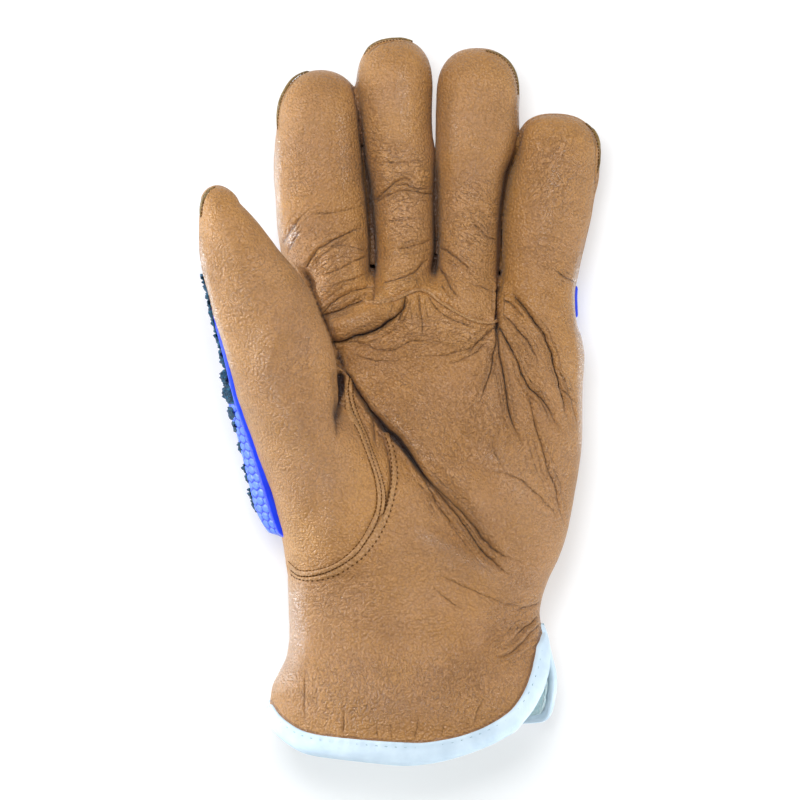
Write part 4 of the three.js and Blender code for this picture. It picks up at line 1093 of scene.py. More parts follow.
def thumb_side(x, y, z):
    """The thumb's leather, by its outline in front and by its form on the back"""
    plan = polygon_side(x, y, on_photo(THUMB_AREA))
    others = np.min([tube_value(tube, x, y, z) for tube in (HAND, *FINGERS.values())], axis=0)
    form = (others - tube_value(THUMB, x, y, z)) * 20
    share = smooth_step(z, 20, 28) * smooth_step(-y, -16, -8)
    return plan * share + form * (1 - share)


def right_of(limit):
    def side(x, y, z):
        return x - limit

    return side


def flipped(side):
    def other(x, y, z):
        return -side(x, y, z)

    return other


def girth_angle(tube, x, y, z):
    """Direction of a point round a tube, in degrees from +X towards +Z"""
    middle_x, middle_z, half_x, half_z, _ = tube_size(tube, y)
    power = tube.roundness / 2
    high = signed_power((z - middle_z) / half_z, power)
    angle = np.arctan2(high, signed_power((x - middle_x) / half_x, power))
    return np.degrees(angle) % 360


def palm_tape_line(pixels):
    """Edge of the palm's tape as (degrees, y) round the cuff"""
    points = np.array(on_photo(pixels))
    middle_x, _, half_x, _, _ = tube_size(HAND, points[:, 1])
    across = np.clip((points[:, 0] - middle_x) / half_x, -1, 1)
    degrees = np.degrees(np.arccos(signed_power(across, HAND.roundness / 2)))
    return list(zip(degrees, points[:, 1]))


def hem_line():
    """The hem all the way round the cuff as (degrees, y), from -10 to 370 degrees"""
    palm = palm_tape_line(PALM_TAPE_OUTER)[::-1]
    back = [(degrees, y) for degrees, y in BACK_TAPE_OUTER if degrees < 359]
    line = sorted([*palm, *back[1:]])
    before = (line[-1][0] - 360, line[-1][1])
    after = (line[0][0] + 360, line[0][1])
    return [before, (0, CUFF_SIDE_Y), *line, (360, CUFF_SIDE_Y), after]


# Creases


def offset_line(path, offset):
    """A path moved sideways, to its left where offset is above zero"""
    course = np.gradient(path, axis=0)
    course /= np.linalg.norm(course, axis=1, keepdims=True)
    return path + offset * np.stack([-course[:, 1], course[:, 0]], axis=1)


def with_companions(table):
    """The creases with fine ones beside them, as soft leather bunches up"""
    random = np.random.default_rng(5)
    full = dict(table)
    for name, fold in table.items():
        if fold.depth < COMPANION_FROM:
            continue
        for i, (side, stretch) in enumerate(COMPANION_SIDES):
            offset = side * random.uniform(3.5, 6.5) * stretch
            path = offset_line(resample(fold.path, 12), offset)
            first = int(random.integers(0, 5))
            last = int(random.integers(8, 12))
            depth = min(0.42, 0.24 * fold.depth) * random.uniform(0.5, 1.0)
            full[f"{name}_{i}"] = Crease(depth, 0.5, 0, 0.35, 0.35, path[first : last + 1].tolist())
    return full


def fold_sum(base, table, right_only=False, thin=1.0, shallow=1.0):
    """A table's folds at each point

    Gives their depth, their shade, how they push the leather sideways, the distance to the main one with its
    side as the sign, and how near that is.
    """
    x, y = base[:, 0], base[:, 1]
    depth, shade, near_by = (np.zeros(len(base)) for _ in range(3))
    line = np.full(len(base), LINE_REACH)
    push = np.zeros((len(base), 2))
    for fold in table.values():
        path = np.array(on_photo(fold.path))
        reach = 4 * fold.width + 2
        low, high = path.min(axis=0) - reach, path.max(axis=0) + reach
        near = np.all((base[:, :2] > low) & (base[:, :2] < high), axis=1)
        if not near.any():
            continue
        measures = measure_path(x[near], y[near], path)
        signed = measures.distance * measures.side
        fade = faded(measures.along, fold.start + SHARP_END, fold.end + SHARP_END)
        # how dark the painted shade of this fold is
        dark = min(SHADE_MOST, SHADE_LEAST + abs(fold.depth) / SHADE_DEPTH) * fade
        r = measures.distance / (fold.width * thin)
        valley = np.exp(-(r**VALLEY_POWER))
        lip = LIP_HEIGHT * np.exp(-((r - LIP_PLACE) ** 2))
        darkest = dark * np.exp(-((r * 1.3) ** 2))
        if right_only:
            valley *= smooth_step(-signed, -0.5, 0.4)
            lip = 0
            darkest = dark * np.exp(-((r * 2.4) ** 2)) * (measures.side < 0)
        depth[near] += fold.depth * shallow * fade * (valley - lip)
        shade[near] = np.maximum(shade[near], darkest)
        closeness = dark * np.exp(-((r / 1.5) ** 2))
        line[near] = np.where(closeness > near_by[near], signed, line[near])
        near_by[near] = np.maximum(near_by[near], closeness)
        if fold.lean:
            over = fold.lean * fade * np.exp(-((r / 2) ** 2)) * smooth_step(signed, -0.2, 0.5)
            course = path[-1] - path[0]
            course = course / np.linalg.norm(course)
            push[near] += over[:, None] * np.array([course[1], -course[0]])
    return Folds(depth, shade, push, np.clip(line, -LINE_REACH, LINE_REACH), near_by)


def warped(base, size, height, seed):
    """Points moved about a little, so that folds along a path don't run quite even"""
    moved = base.copy()
    for axis in range(2):
        moved[:, axis] += height * noise(base, size, seed + axis)
    return moved


def ridges(points, size, seed):
    """Fine wrinkles: narrow valleys between soft swells"""
    return 1 - np.abs(noise(points, size, seed)) * 2


def turned(points, degrees):
    x, y, z = points.T
    c, s = math.cos(math.radians(degrees)), math.sin(math.radians(degrees))
    return np.stack([c * x + s * y, -s * x + c * y, z], axis=1)


def zone_weight(base, zone):
    x, y = on_photo([(zone.x, zone.y)])[0]
    part = ((base[:, 0] - x) / (zone.wide * PIXEL)) ** 2 + ((base[:, 1] - y) / (zone.high * PIXEL)) ** 2
    return np.exp(-(part**1.5))


def run_weights(base):
    """How strongly fine wrinkles run in each of the directions of RUNS"""
    weights = np.zeros((len(RUNS), len(base)))
    step = 180 / len(RUNS)
    for zone in (*WRINKLE_ZONES, *FINE_ZONES):
        weight = zone_weight(base, zone) * min(1.0, zone.depth * 3.2)
        place = (zone.run % 180) / step
        low = int(place)
        share = place - low
        weights[low % len(RUNS)] += weight * (1 - share)
        weights[(low + 1) % len(RUNS)] += weight * share
    return np.clip(weights, 0, 1)


def wrinkle_depth(base):
    total = np.zeros(len(base))
    for i, zone in enumerate(WRINKLE_ZONES):
        weight = zone_weight(base, zone)
        near = weight > 0.02
        along = turned(base[near], zone.run)
        for layer in LAYERS:
            size = [zone.spacing * share for share in (layer.along, layer.across, layer.through)]
            wrinkles = layer.share * ridges(along, size, layer.seed + i)
            total[near] += weight[near] * zone.depth * wrinkles
    return total


def creased(data):
    """Places of the skin with its folds, wrinkles and dents, and the folds for the looks"""
    base, normal = data[:, :3], data[:, 3:6]
    front = smooth_step(normal[:, 2], 0.0, 0.45)
    cuff = smooth_step(base[:, 1], -108, -92)
    wobbled = warped(warped(base, size=4.0, height=0.4, seed=11), size=1.6, height=0.14, seed=13)
    # the thumb stands in front of the palm, so the folds of the palm stop under it
    on_thumb = smooth_step(thumb_side(*base.T), -0.3, 1.0)
    palm = front * (1 - on_thumb)
    folds = fold_sum(wobbled, ALL_CREASES, thin=CREASE_WIDTH, shallow=CREASE_DEPTH)
    thumb_folds = fold_sum(wobbled, THUMB_CREASES, thin=CREASE_WIDTH, shallow=CREASE_DEPTH)
    broad = fold_sum(base, HOLLOWS)
    thumb_broad = fold_sum(base, THUMB_HOLLOWS)
    slopes = fold_sum(base, SLOPES, True)
    wrinkles = WRINKLE_SHARE * wrinkle_depth(base) * front * (0.35 + 0.65 * cuff) * (1 - 0.6 * on_thumb)
    dents = sum(dent.height * noise(base, dent.size, dent.seed) for dent in DENTS)
    dents *= 0.25 + 0.75 * cuff
    thumb = front * on_thumb
    sink = (folds.depth + broad.depth + slopes.depth) * palm + wrinkles - dents
    sink += (thumb_folds.depth + thumb_broad.depth) * thumb
    points = base - normal * sink[:, None]
    points[:, :2] += folds.push * palm[:, None] + thumb_folds.push * thumb[:, None]
    # painted shade of the folds and slopes, for the leather's colour
    shade = np.maximum(folds.shade, slopes.shade) * palm + thumb_folds.shade * thumb
    near = folds.near * palm + thumb_folds.near * thumb
    line = np.where(on_thumb > 0.5, thumb_folds.line, folds.line)
    return points, Folds(sink, shade, None, line, near)


# Panels


def seam_sink(points, normal, distance):
    """Points near a seam, drawn in towards its stitches"""
    sink = SEAM_DEPTH * np.exp(-((distance / SEAM_WIDTH) ** 2))
    return points - normal * sink[:, None]


def open_edges(count, tris):
    """The edges that only one triangle uses"""
    edges = triangle_edges(tris)
    keys = np.sort(edges, axis=1) @ np.array([count, 1])
    _, index, uses = np.unique(keys, return_inverse=True, return_counts=True)
    return edges[uses[index] == 1]


def rimmed(points, normal, tris, thickness):
    """A surface with its edges turned inwards, and the rows that the turned points copy"""
    count = len(points)
    rim = open_edges(count, tris)
    used, index = np.unique(rim, return_inverse=True)
    index = index.reshape(-1, 2) + count
    walls = np.stack([rim[:, 1], rim[:, 0], index[:, 0], index[:, 1]], axis=1)
    turned_in = points[used] - normal[used] * thickness
    faces = np.concatenate([tris, walls[:, [0, 1, 2]], walls[:, [0, 2, 3]]])
    return np.vstack([points, turned_in]), faces, used


def make_object(name, points, faces, material, attributes=None):
    """A mesh object from points in millimetres"""
    mesh = bpy.data.meshes.new(name)
    points = np.asarray(points, float)
    faces = np.asarray(faces)
    corners = faces.shape[1]
    mesh.vertices.add(len(points))
    mesh.vertices.foreach_set("co", (points * MM).astype(np.float32).ravel())
    mesh.loops.add(faces.size)
    mesh.loops.foreach_set("vertex_index", faces.astype(np.int32).ravel())
    mesh.polygons.add(len(faces))
    mesh.polygons.foreach_set("loop_start", np.arange(0, faces.size, corners, dtype=np.int32))
    mesh.polygons.foreach_set("loop_total", np.full(len(faces), corners, dtype=np.int32))
    mesh.update(calc_edges=True)
    mesh.polygons.foreach_set("use_smooth", np.ones(len(faces), bool))
    for key, values in (attributes or {}).items():
        layer = mesh.attributes.new(key, "FLOAT", "POINT")
        layer.data.foreach_set("value", np.asarray(values, np.float32))
    mesh.validate()
    mesh.materials.append(material)
    obj = bpy.data.objects.new(name, mesh)
    bpy.context.scene.collection.objects.link(obj)
    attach(obj, "root")
    return obj


def finish_piece(obj, slot, *nodes):
    if nodes:
        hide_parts(*nodes)
    return obj


def gleam_at(base):
    """How smooth the leather's finish is at each place"""
    strongest = np.zeros(len(base))
    for gleam in GLEAMS:
        measures = measure_path(base[:, 0], base[:, 1], on_photo(gleam.path))
        part = gleam.strength * np.exp(-((measures.distance / gleam.width) ** gleam.sharp))
        strongest = np.maximum(strongest, part * faded(measures.along, 0.25, 0.25))
    return strongest * smooth_step(base[:, 2], 9, 19)


def painted_gap_shade(base):
    """Painted shade between two fingers: how dark the leather is made there"""
    x, y, z = base.T
    dark = np.zeros(len(base))
    splits = (split_x(INDEX_MIDDLE, y), MIDDLE_SPLIT, split_x(RING_LITTLE, y))
    for gap, split in zip(GAPS, splits):
        off = x - split - gap.shift
        reach = np.where(off < 0, gap.left, gap.right)
        near = np.exp(-((np.abs(off) / reach) ** 1.6)) * smooth_step(-y, -gap.end, 12 - gap.end)
        dark = np.maximum(dark, near)
    return GAP_SHADE * dark * smooth_step(GAP_TOP - z, 0, 8) * smooth_step(y, 16, 30)


def build_panel(skin, panel, material):
    """One leather panel: the part of the skin where all its sides are above zero"""
    for side in panel.sides:
        skin = clip(skin, side(*skin.data[:, :3].T))
    base, normal = skin.data[:, :3], skin.data[:, 3:6]
    points, folds = creased(skin.data)
    distance = np.min([np.abs(side(*base.T)) for side in panel.sides], axis=0)
    points = seam_sink(points, normal, distance)
    walls, faces, used = rimmed(points, point_normals(points, skin.tris), skin.tris, LEATHER)
    tape = (left_of(base[:, 0], base[:, 1], on_photo(PALM_TAPE_INNER)) - TAPE_LINE) / TAPE_LINE
    tape_shade = TAPE_SHADE * np.exp(-(tape**2)) * smooth_step(base[:, 2], 20, 24)
    # For the looks: painted shade in the folds and between the fingers, darker leather along the seams with
    # painted shade beside the tape, the finish's gloss and the wrinkles' directions
    values = {
        "crease": np.maximum(folds.shade, painted_gap_shade(base)),
        "line": folds.line,
        "near": folds.near,
        "seam": np.maximum(np.exp(-distance / SEAM_SHADE), tape_shade),
        "gleam": gleam_at(base),
        **{f"run_{i}": weight for i, weight in enumerate(run_weights(base))},
    }
    attributes = {key: np.r_[value, value[used]] for key, value in values.items()}
    obj = make_object(panel.piece, walls, faces, material, attributes)
    return finish_piece(obj, "leather", panel.node)


def hem_side(x, y, z):
    return y - line_at(girth_angle(HAND, x, y, z), HEM) - HEM_IN


Panel = namedtuple("Panel", "piece node sides")


def panel_table():
    hand = flipped(thumb_side)
    strip = [hand, flipped(front_side), flipped(back_side)]
    index, middle, ring, little = (right_of(MIDDLE_X[name]) for name in FINGERS)
    not_two, not_gusset = flipped(two_finger_side), flipped(gusset_side)
    return [
        Panel("palm_leather", "palm_panel", [hand, front_side, not_two, not_gusset]),
        Panel("two_finger_leather", "two_finger_panel", [hand, front_side, two_finger_side]),
        Panel("back_leather", "back_panel", [hand, back_side]),
        Panel("strip_index_middle", "fourchette_index_middle", [*strip, index, flipped(middle)]),
        Panel("strip_middle_ring", "fourchette_middle_ring", [*strip, middle, flipped(ring)]),
        Panel("strip_ring_little", "fourchette_ring_little", [*strip, ring, flipped(little)]),
        Panel("thumb_front_leather", "thumb_front", [thumb_side, thumb_front_side]),
        Panel("thumb_back_leather", "thumb_back", [thumb_side, flipped(thumb_front_side)]),
        Panel("gusset_leather", "thumb_gusset", [hand, front_side, gusset_side]),
    ]


def build_panels(skin, leather):
    skin = clip(skin, hem_side(*skin.data[:, :3].T))
    for panel in panel_table():
        build_panel(skin, panel, leather)


# What lies on the skin


class Surface:
    """Finds places on the creased skin"""

    def __init__(self, skin):
        points, _ = creased(skin.data)
        self.tree = BVHTree.FromPolygons(points.tolist(), skin.tris.tolist())

    def above(self, x, y):
        """The highest place over a spot seen from above"""
        place, _, _, _ = self.tree.ray_cast(Vector((x, y, 120)), Vector((0, 0, -1)))
        return place

    def lay(self, path):
        """A plan path laid on the skin: its places and their outward directions"""
        step = 0.9
        places, normals = [], []
        for x, y in path:
            place = self.above(x, y)
            if place is None:
                place, _, _, _ = self.tree.find_nearest(Vector((x, y, 22)))
                place = place.copy()
            heights = []
            for dx, dy in ((step, 0), (-step, 0), (0, step), (0, -step)):
                near = self.above(x + dx, y + dy)
                heights.append(near.z if near and abs(near.z - place.z) < 4 * step else place.z)
            right, left, up, down = heights
            places.append(place)
            normals.append(Vector(((left - right) / (2 * step), (down - up) / (2 * step), 1)).normalized())
        return np.array(places), np.array(normals)


def eased(rows, rounds=2):
    """Rows smoothed along their order, with the ends kept"""
    rows = np.array(rows, float)
    for _ in range(rounds):
        rows[1:-1] = (rows[:-2] + 2 * rows[1:-1] + rows[2:]) / 4
    return rows


def grid_faces(rows, columns, closed=False):
    """Quads of a grid of points, closed across its columns if asked"""
    index = np.arange(rows * columns).reshape(rows, columns)
    right = np.roll(index, -1, axis=1) if closed else index[:, 1:]
    left = index if closed else index[:, :-1]
    return np.stack([left[:-1], right[:-1], right[1:], left[1:]], axis=-1).reshape(-1, 4)


def strip_between(surface, name, left, right, height, material, nodes=(), step=0.6, flattest=0.35):
    """A raised strip on the skin between two plan lines, with round edges sunk in it"""
    count = int(path_length(left) / step)
    left, right = resample(left, count), resample(right, count)
    middle = (left + right) / 2
    places, normals = surface.lay(middle)
    places, normals = eased(places), eased(normals, 4)
    rows = []
    for share, rise in STRIP_PROFILE:
        edge = left + (right - left) * share
        offset = (edge - middle) * normals[:, :2]
        tilt = -offset.sum(axis=1) / np.maximum(normals[:, 2], flattest)
        rows.append(np.column_stack([edge, places[:, 2] + tilt]) + normals * (rise * height))
    points = np.stack(rows, axis=1).reshape(-1, 3)
    obj = make_object(name, points, grid_faces(count, len(STRIP_PROFILE)), material)
    return finish_piece(obj, "welt", *nodes)


def capsule(stitch):
    """A round-ended rod along X: its points and faces"""
    turn = np.linspace(0, 2 * math.pi, STITCH_SIDES, endpoint=False)
    points = [
        (along * stitch.length, stitch.radius * size * math.cos(t), stitch.radius * size * math.sin(t))
        for along, size in STITCH_RINGS
        for t in turn
    ]
    return np.array(points), grid_faces(len(STITCH_RINGS), STITCH_SIDES, closed=True)


def unit(rows):
    return rows / np.maximum(np.linalg.norm(rows, axis=1, keepdims=True), 1e-9)


def stitches(name, places, normals, stitch, material, slot="welt"):
    """A row of stitches along a path on the skin"""
    steps = np.r_[0, np.cumsum(np.linalg.norm(np.diff(places, axis=0), axis=1))]
    middles = np.arange(stitch.pitch / 2, steps[-1], stitch.pitch)

    def at(rows, where):
        return np.stack([np.interp(where, steps, column) for column in rows.T], axis=1)

    centre = at(places, middles)
    ahead = unit(at(places, middles + stitch.length / 2) - at(places, middles - stitch.length / 2))
    across = unit(np.cross(at(normals, middles), ahead))
    up = np.cross(ahead, across)
    shape, faces = capsule(stitch)
    points = (
        centre[:, None]
        + shape[None, :, :1] * ahead[:, None]
        + shape[None, :, 1:2] * across[:, None]
        + (shape[None, :, 2:3] - STITCH_SINK) * up[:, None]
    )
    all_faces = (faces[None] + len(shape) * np.arange(len(middles))[:, None, None]).reshape(-1, 4)
    obj = make_object(name, points.reshape(-1, 3), all_faces, material)
    return finish_piece(obj, slot)


def plan_stitches(surface, name, path, stitch, material):
    """Stitches along a plan path on the skin"""
    line = resample(path, int(path_length(path) / 0.8))
    places, normals = surface.lay(line)
    places, normals = eased(places), eased(normals, 3)
    stitches(name, places + stitch.rise * normals, normals, stitch, material)


def build_thumb_seam(surface, band, thread):
    for strip in SEAM_STRIPS:
        left, right = on_photo(strip.left), on_photo(strip.right)
        strip_between(surface, strip.name, left, right, strip.height, band, strip.nodes)
    for row in SEAM_STITCHES:
        plan_stitches(surface, f"seam_stitches_{row.name}", on_photo(row.line), row.stitch, thread)


def build_finger_welt(surface, band):
    path = resample(on_photo(TWO_FINGER_SEAM), 90)
    left, right = offset_line(path, WELT_HALF), offset_line(path, -WELT_HALF)
    strip_between(surface, "finger_welt_fold", left, right, 0.9, band, ["finger_welt"], 0.5)


def build_tip_seams(surface, leather, thread):
    """The raw sewn edges round the tips, which stand nearly upright"""
    for name, seam in TIP_SEAMS.items():
        path = resample(on_photo(seam.path), 40)
        taper = np.sin(np.linspace(0, math.pi, len(path)))[:, None] ** 0.6
        outer = offset_line(path, seam.side * (0.1 + TIP_EDGE * taper))
        strip_between(surface, f"tip_edge_{name}", path, outer, 0.3, leather, step=0.4, flattest=0.9)
        plan_stitches(surface, f"tip_stitches_{name}", path, TIP_STITCH, thread)


# Cuff


def on_girth(tube, x, y, z, grow):
    """Points at x and z from the middle of a tube's section, moved outwards"""
    middle_x, middle_z, half_x, half_z, _ = tube_size(tube, y)
    slope_x = signed_power(x / half_x, tube.roundness - 1) / half_x
    slope_z = signed_power(z / half_z, tube.roundness - 1) / half_z
    out = grow / np.maximum(np.hypot(slope_x, slope_z), 1e-9)
    return np.stack([middle_x + x + out * slope_x, y + 0 * x, middle_z + z + out * slope_z], axis=-1)


def hand_point(degrees, y, grow):
    """Points round the hand's section, moved outwards"""
    _, _, half_x, half_z, _ = tube_size(HAND, y)
    angle = np.radians(degrees)
    share = 2 / HAND.roundness
    x = half_x * signed_power(np.cos(angle), share)
    return on_girth(HAND, x, y, half_z * signed_power(np.sin(angle), share), grow)


def across_tape(outer, inner, share):
    """Degrees and y on the tape, at a share of the way from its outer to its inner edge"""
    return outer[0] + (inner[0] - outer[0]) * share, outer[1] + (inner[1] - outer[1]) * share


def round_cuff(line, count):
    """A line of (degrees, y) as count points evenly spaced on the cuff's surface"""
    table = np.array(line, float)
    fine = np.linspace(0, len(table) - 1, count * 6)
    degrees = smooth_curve(fine, np.arange(len(table)), table[:, 0])
    y = smooth_curve(fine, np.arange(len(table)), table[:, 1])
    points = hand_point(degrees, y, 0)
    steps = np.r_[0, np.cumsum(np.linalg.norm(np.diff(points, axis=0), axis=1))]
    even = np.linspace(0, steps[-1], count)
    return np.interp(even, steps, degrees), np.interp(even, steps, y)


def build_tape(name, outer, inner, material, node):
    """White tape folded over the hem: round at the hem, flat on the leather, thin at its sewn edge"""
    outer_line, inner_line = round_cuff(outer, TAPE_POINTS), round_cuff(inner, TAPE_POINTS)
    rows = []
    along = np.arange(TAPE_POINTS)
    for share, grow in TAPE_PROFILE:
        degrees, y = across_tape(outer_line, inner_line, share)
        ripple = TAPE_RIPPLE * np.sin(along * 0.9) * (share > 0.7) * (grow > 0)
        rows.append(hand_point(degrees, y, grow + ripple))
    points = np.stack(rows, axis=1)
    middles = points.mean(axis=1, keepdims=True)
    from_end = np.minimum(along, TAPE_POINTS - 1 - along)
    full = np.sqrt(np.clip(1 - (1 - np.clip(from_end / TAPE_ROUND, 0, 1)) ** 2, 0, 1))
    points = middles + (points - middles) * full[:, None, None]
    faces = grid_faces(TAPE_POINTS, len(rows), closed=True)
    obj = make_object(name, points.reshape(-1, 3), faces, material)
    return finish_piece(obj, "binding", node)


def build_tape_stitches(name, outer, inner, material):
    count = 300
    degrees, y = across_tape(round_cuff(outer, count), round_cuff(inner, count), TAPE_SEWN)
    places = hand_point(degrees, y, TAPE_STITCH.rise)
    normals = hand_point(degrees, y, TAPE_STITCH.rise + 1) - places
    return stitches(name, places, normals, TAPE_STITCH, material, "binding")


def build_lining(material):
    """The pale lining that shows inside the cuff"""
    fine = np.linspace(-4, 30, 60, endpoint=False)
    degrees = np.concatenate([fine, np.linspace(30, 356, 220, endpoint=False)])
    start = eased(line_at(degrees % 360, HEM)[:, None] + LINING_START, 1)[:, 0]
    walls = []
    for grow in (-LINING_IN, -LINING_IN - LINING_THICK):
        wall = []
        for k in range(LINING_ROWS):
            y = start + (LINING_END - start) * k / (LINING_ROWS - 1)
            dent = 0.25 * noise(np.stack([degrees * 0.8, y, 0 * y], axis=1), 6, 21)
            wall.append(hand_point(degrees, y, grow + dent))
        walls.append(wall)
    points = np.stack([*walls[0], *walls[1][::-1]])
    rows, columns = points.shape[:2]
    first = np.arange(columns)
    beside = np.roll(first, -1)
    last = (rows - 1) * columns
    rim = np.stack([first + last, beside + last, beside, first], axis=1)
    faces = np.vstack([grid_faces(rows, columns, closed=True), rim])
    obj = make_object("cuff_lining_knit", points.reshape(-1, 3), faces, material)
    return finish_piece(obj, "lining", "cuff_lining")


# Guards


def girth_point(tube, degrees, y, grow):
    """Points round a tube in given directions from its middle, moved outwards"""
    _, _, half_x, half_z, _ = tube_size(tube, y)
    angle = np.radians(degrees)
    c, s = np.cos(angle), np.sin(angle)
    n = tube.roundness
    reach = (np.abs(c / half_x) ** n + np.abs(s / half_z) ** n) ** (-1 / n)
    return on_girth(tube, reach * c, y, reach * s, grow)


def honeycomb(u, v, cell):
    """0 in the middle of a six-sided cell and 1 on its wall"""
    wide, high = cell, cell * math.sqrt(3)

    def off(du, dv):
        a = np.mod(u - du + wide / 2, wide) - wide / 2
        b = np.mod(v - dv + high / 2, high) - high / 2
        return a, b

    def edge(a, b):
        return np.maximum(np.abs(a), np.abs(a) * 0.5 + np.abs(b) * math.sqrt(3) / 2)

    one = edge(*off(0, 0))
    two = edge(*off(wide / 2, high / 2))
    return np.minimum(one, two) / (wide / 2)


def guard_front(y):
    """The direction of the guard's front edge and its size at each y"""
    places, turns, sizes = np.array(THUMB_GUARD, float).T
    return smooth_curve(y, places, turns), smooth_curve(y, places, sizes)


def build_thumb_guard(rubber):
    """The blue plate on the thumb's back: a smooth rail in front, then a honeycomb field"""
    y = np.linspace(THUMB_GUARD[0].y, THUMB_GUARD[-1].y, GUARD_ROWS)
    turns, ys = np.meshgrid(np.linspace(0, GUARD_PROFILE[-1][0], GUARD_COLUMNS), y)
    fronts, sizes = guard_front(ys)
    cells = honeycomb(turns * DEGREE, ys, GUARD_CELL)
    start = 11 - 5 * smooth_step(-ys, 20, 44)
    field = smooth_step(turns, start, start + 3) * (1 - smooth_step(turns, 98, 101))
    field = field * smooth_step(-ys, -30, -24)
    ends = smooth_step(ys, y[0], y[0] + 1.6) * smooth_step(-ys, -y[-1], -y[-1] + 3)
    height = line_at(turns, GUARD_PROFILE) - GUARD_GROOVE * field * smooth_step(cells, 0.7, 0.92)
    height = height * sizes * (0.25 + 0.75 * ends)
    outside = girth_point(THUMB, fronts + turns, ys, height)
    inside = girth_point(THUMB, fronts + turns, ys, 0 * height - GUARD_SINK)
    points = np.concatenate([outside, inside[:, ::-1]], axis=1)
    rows, columns = points.shape[:2]
    faces = np.vstack([grid_faces(rows, columns, closed=True)[:, ::-1], end_caps(rows, columns)])
    attributes = {
        "cell": np.concatenate([(1 - cells) * field, 0 * cells], axis=1).ravel(),
        "rail": np.tile(1 - field, 2).ravel(),
    }
    obj = make_object("thumb_guard_rubber", points.reshape(-1, 3), faces, rubber, attributes)
    return finish_piece(obj, "guard_rubber", "thumb_guard")


def end_caps(rows, columns):
    """Quads across both ends of a closed flat loft whose halves mirror each other"""
    half = columns // 2
    a = np.arange(half - 1)
    first = np.stack([a, a + 1, columns - 2 - a, columns - 1 - a], axis=1)
    return np.vstack([first, (first + (rows - 1) * columns)[:, ::-1]])


def build_thumb_ridge(rubber):
    """Dark crumbly lumps in a row along the guard"""
    points, faces = [], []
    u, v = np.meshgrid(np.linspace(-1, 1, LUMP_COLUMNS), np.linspace(-1, 1, LUMP_ROWS))
    for i, lump in enumerate(LUMPS):
        y = lump.y + v * lump.length / 2
        turn = lump.turn + u * LUMP_HALF
        front, size = guard_front(y)
        place = np.stack([turn * DEGREE, y, 0 * y + 3.7 * i], axis=-1).reshape(-1, 3)
        edge = (0.3 * noise(place, 1.3, 33)).reshape(y.shape)
        domes = [np.clip(1 - (np.abs(across) + edge) ** 4, 0, 1) ** 0.5 for across in (u, v)]
        dome = domes[0] * domes[1]
        crumbs = (1.3 * np.abs(noise(place, 1.3, 31)) + 0.45 * noise(place, 0.6, 32)).reshape(y.shape)
        rise = (lump.height - 0.6 + crumbs) * dome
        height = line_at(turn - front, GUARD_PROFILE) * size + rise - 0.4 * (1 - dome)
        points.append(girth_point(THUMB, turn, y, height).reshape(-1, 3))
        faces.append(grid_faces(LUMP_ROWS, LUMP_COLUMNS)[:, ::-1] + i * u.size)
    obj = make_object("thumb_guard_lumps", np.vstack(points), np.vstack(faces), rubber)
    return finish_piece(obj, "ridge_rubber", "thumb_guard_ridge")


def knuckle_bump(x, y):
    """1 on the knuckle guard's flat bumps and 0 beside them"""
    most = np.zeros(x.shape)
    for bump in KNUCKLE_BUMPS:
        across = np.abs(x - bump.x) / (bump.wide / 2)
        along = np.abs(y - bump.y) / (bump.high / 2)
        most = np.maximum(most, 1 - smooth_step((across**5 + along**5) ** 0.2, 0.78, 1.0))
    return most


def build_knuckle_guard(skin, rubber):
    """The guard over the knuckles: flat bumps that the glove rests on, and cells between them"""
    part = clip(skin, polygon_side(skin.data[:, 0], skin.data[:, 1], KNUCKLE_EDGE))
    part = clip(part, KNUCKLE_TOP - part.data[:, 2])
    base, normal = part.data[:, :3], part.data[:, 3:6]
    x, y, z = base.T
    edge = np.minimum(polygon_side(x, y, KNUCKLE_EDGE), KNUCKLE_TOP - z)
    rounding = np.sqrt(np.clip(1 - (1 - np.clip(edge / KNUCKLE_ROUND, 0, 1)) ** 2, 0, 1))
    cells = honeycomb(x, y, KNUCKLE_CELL)
    bump = knuckle_bump(x, y)
    field = (1 - bump) * smooth_step(edge, 2.0, 3.0) * smooth_step(-normal[:, 2], 0.86, 0.96)
    plate = KNUCKLE_PLATE * rounding - KNUCKLE_GROOVE * field * (1 - smooth_step(cells, 0.62, 0.85))
    plate *= 0.5 + 0.5 * smooth_step(KNUCKLE_TOP - z, 1.0, 9.0)
    points = base + normal * plate[:, None]
    points[:, 2] -= points[:, 2] * smooth_step(-normal[:, 2], 0.2, 0.7) * bump
    points[:, 2] = np.maximum(points[:, 2], 0.0)
    walls, faces = shell_between(points, base - normal * 0.4, part.tris)
    attributes = {"cell": np.r_[(1 - cells) * field, 0 * cells], "rail": np.tile(1 - field, 2)}
    obj = make_object("knuckle_guard_rubber", walls, faces, rubber, attributes)
    return finish_piece(obj, "guard_rubber", "knuckle_guard")


def shell_between(outer, inner, tris):
    """Two surfaces with the same triangles, joined round their rim"""
    count = len(outer)
    rim = open_edges(count, tris)
    walls = np.stack([rim[:, 1], rim[:, 0], rim[:, 0] + count, rim[:, 1] + count], axis=1)
    faces = np.concatenate([tris, tris[:, ::-1] + count, walls[:, [0, 1, 2]], walls[:, [0, 2, 3]]])
    return np.vstack([outer, inner]), faces


# Materials


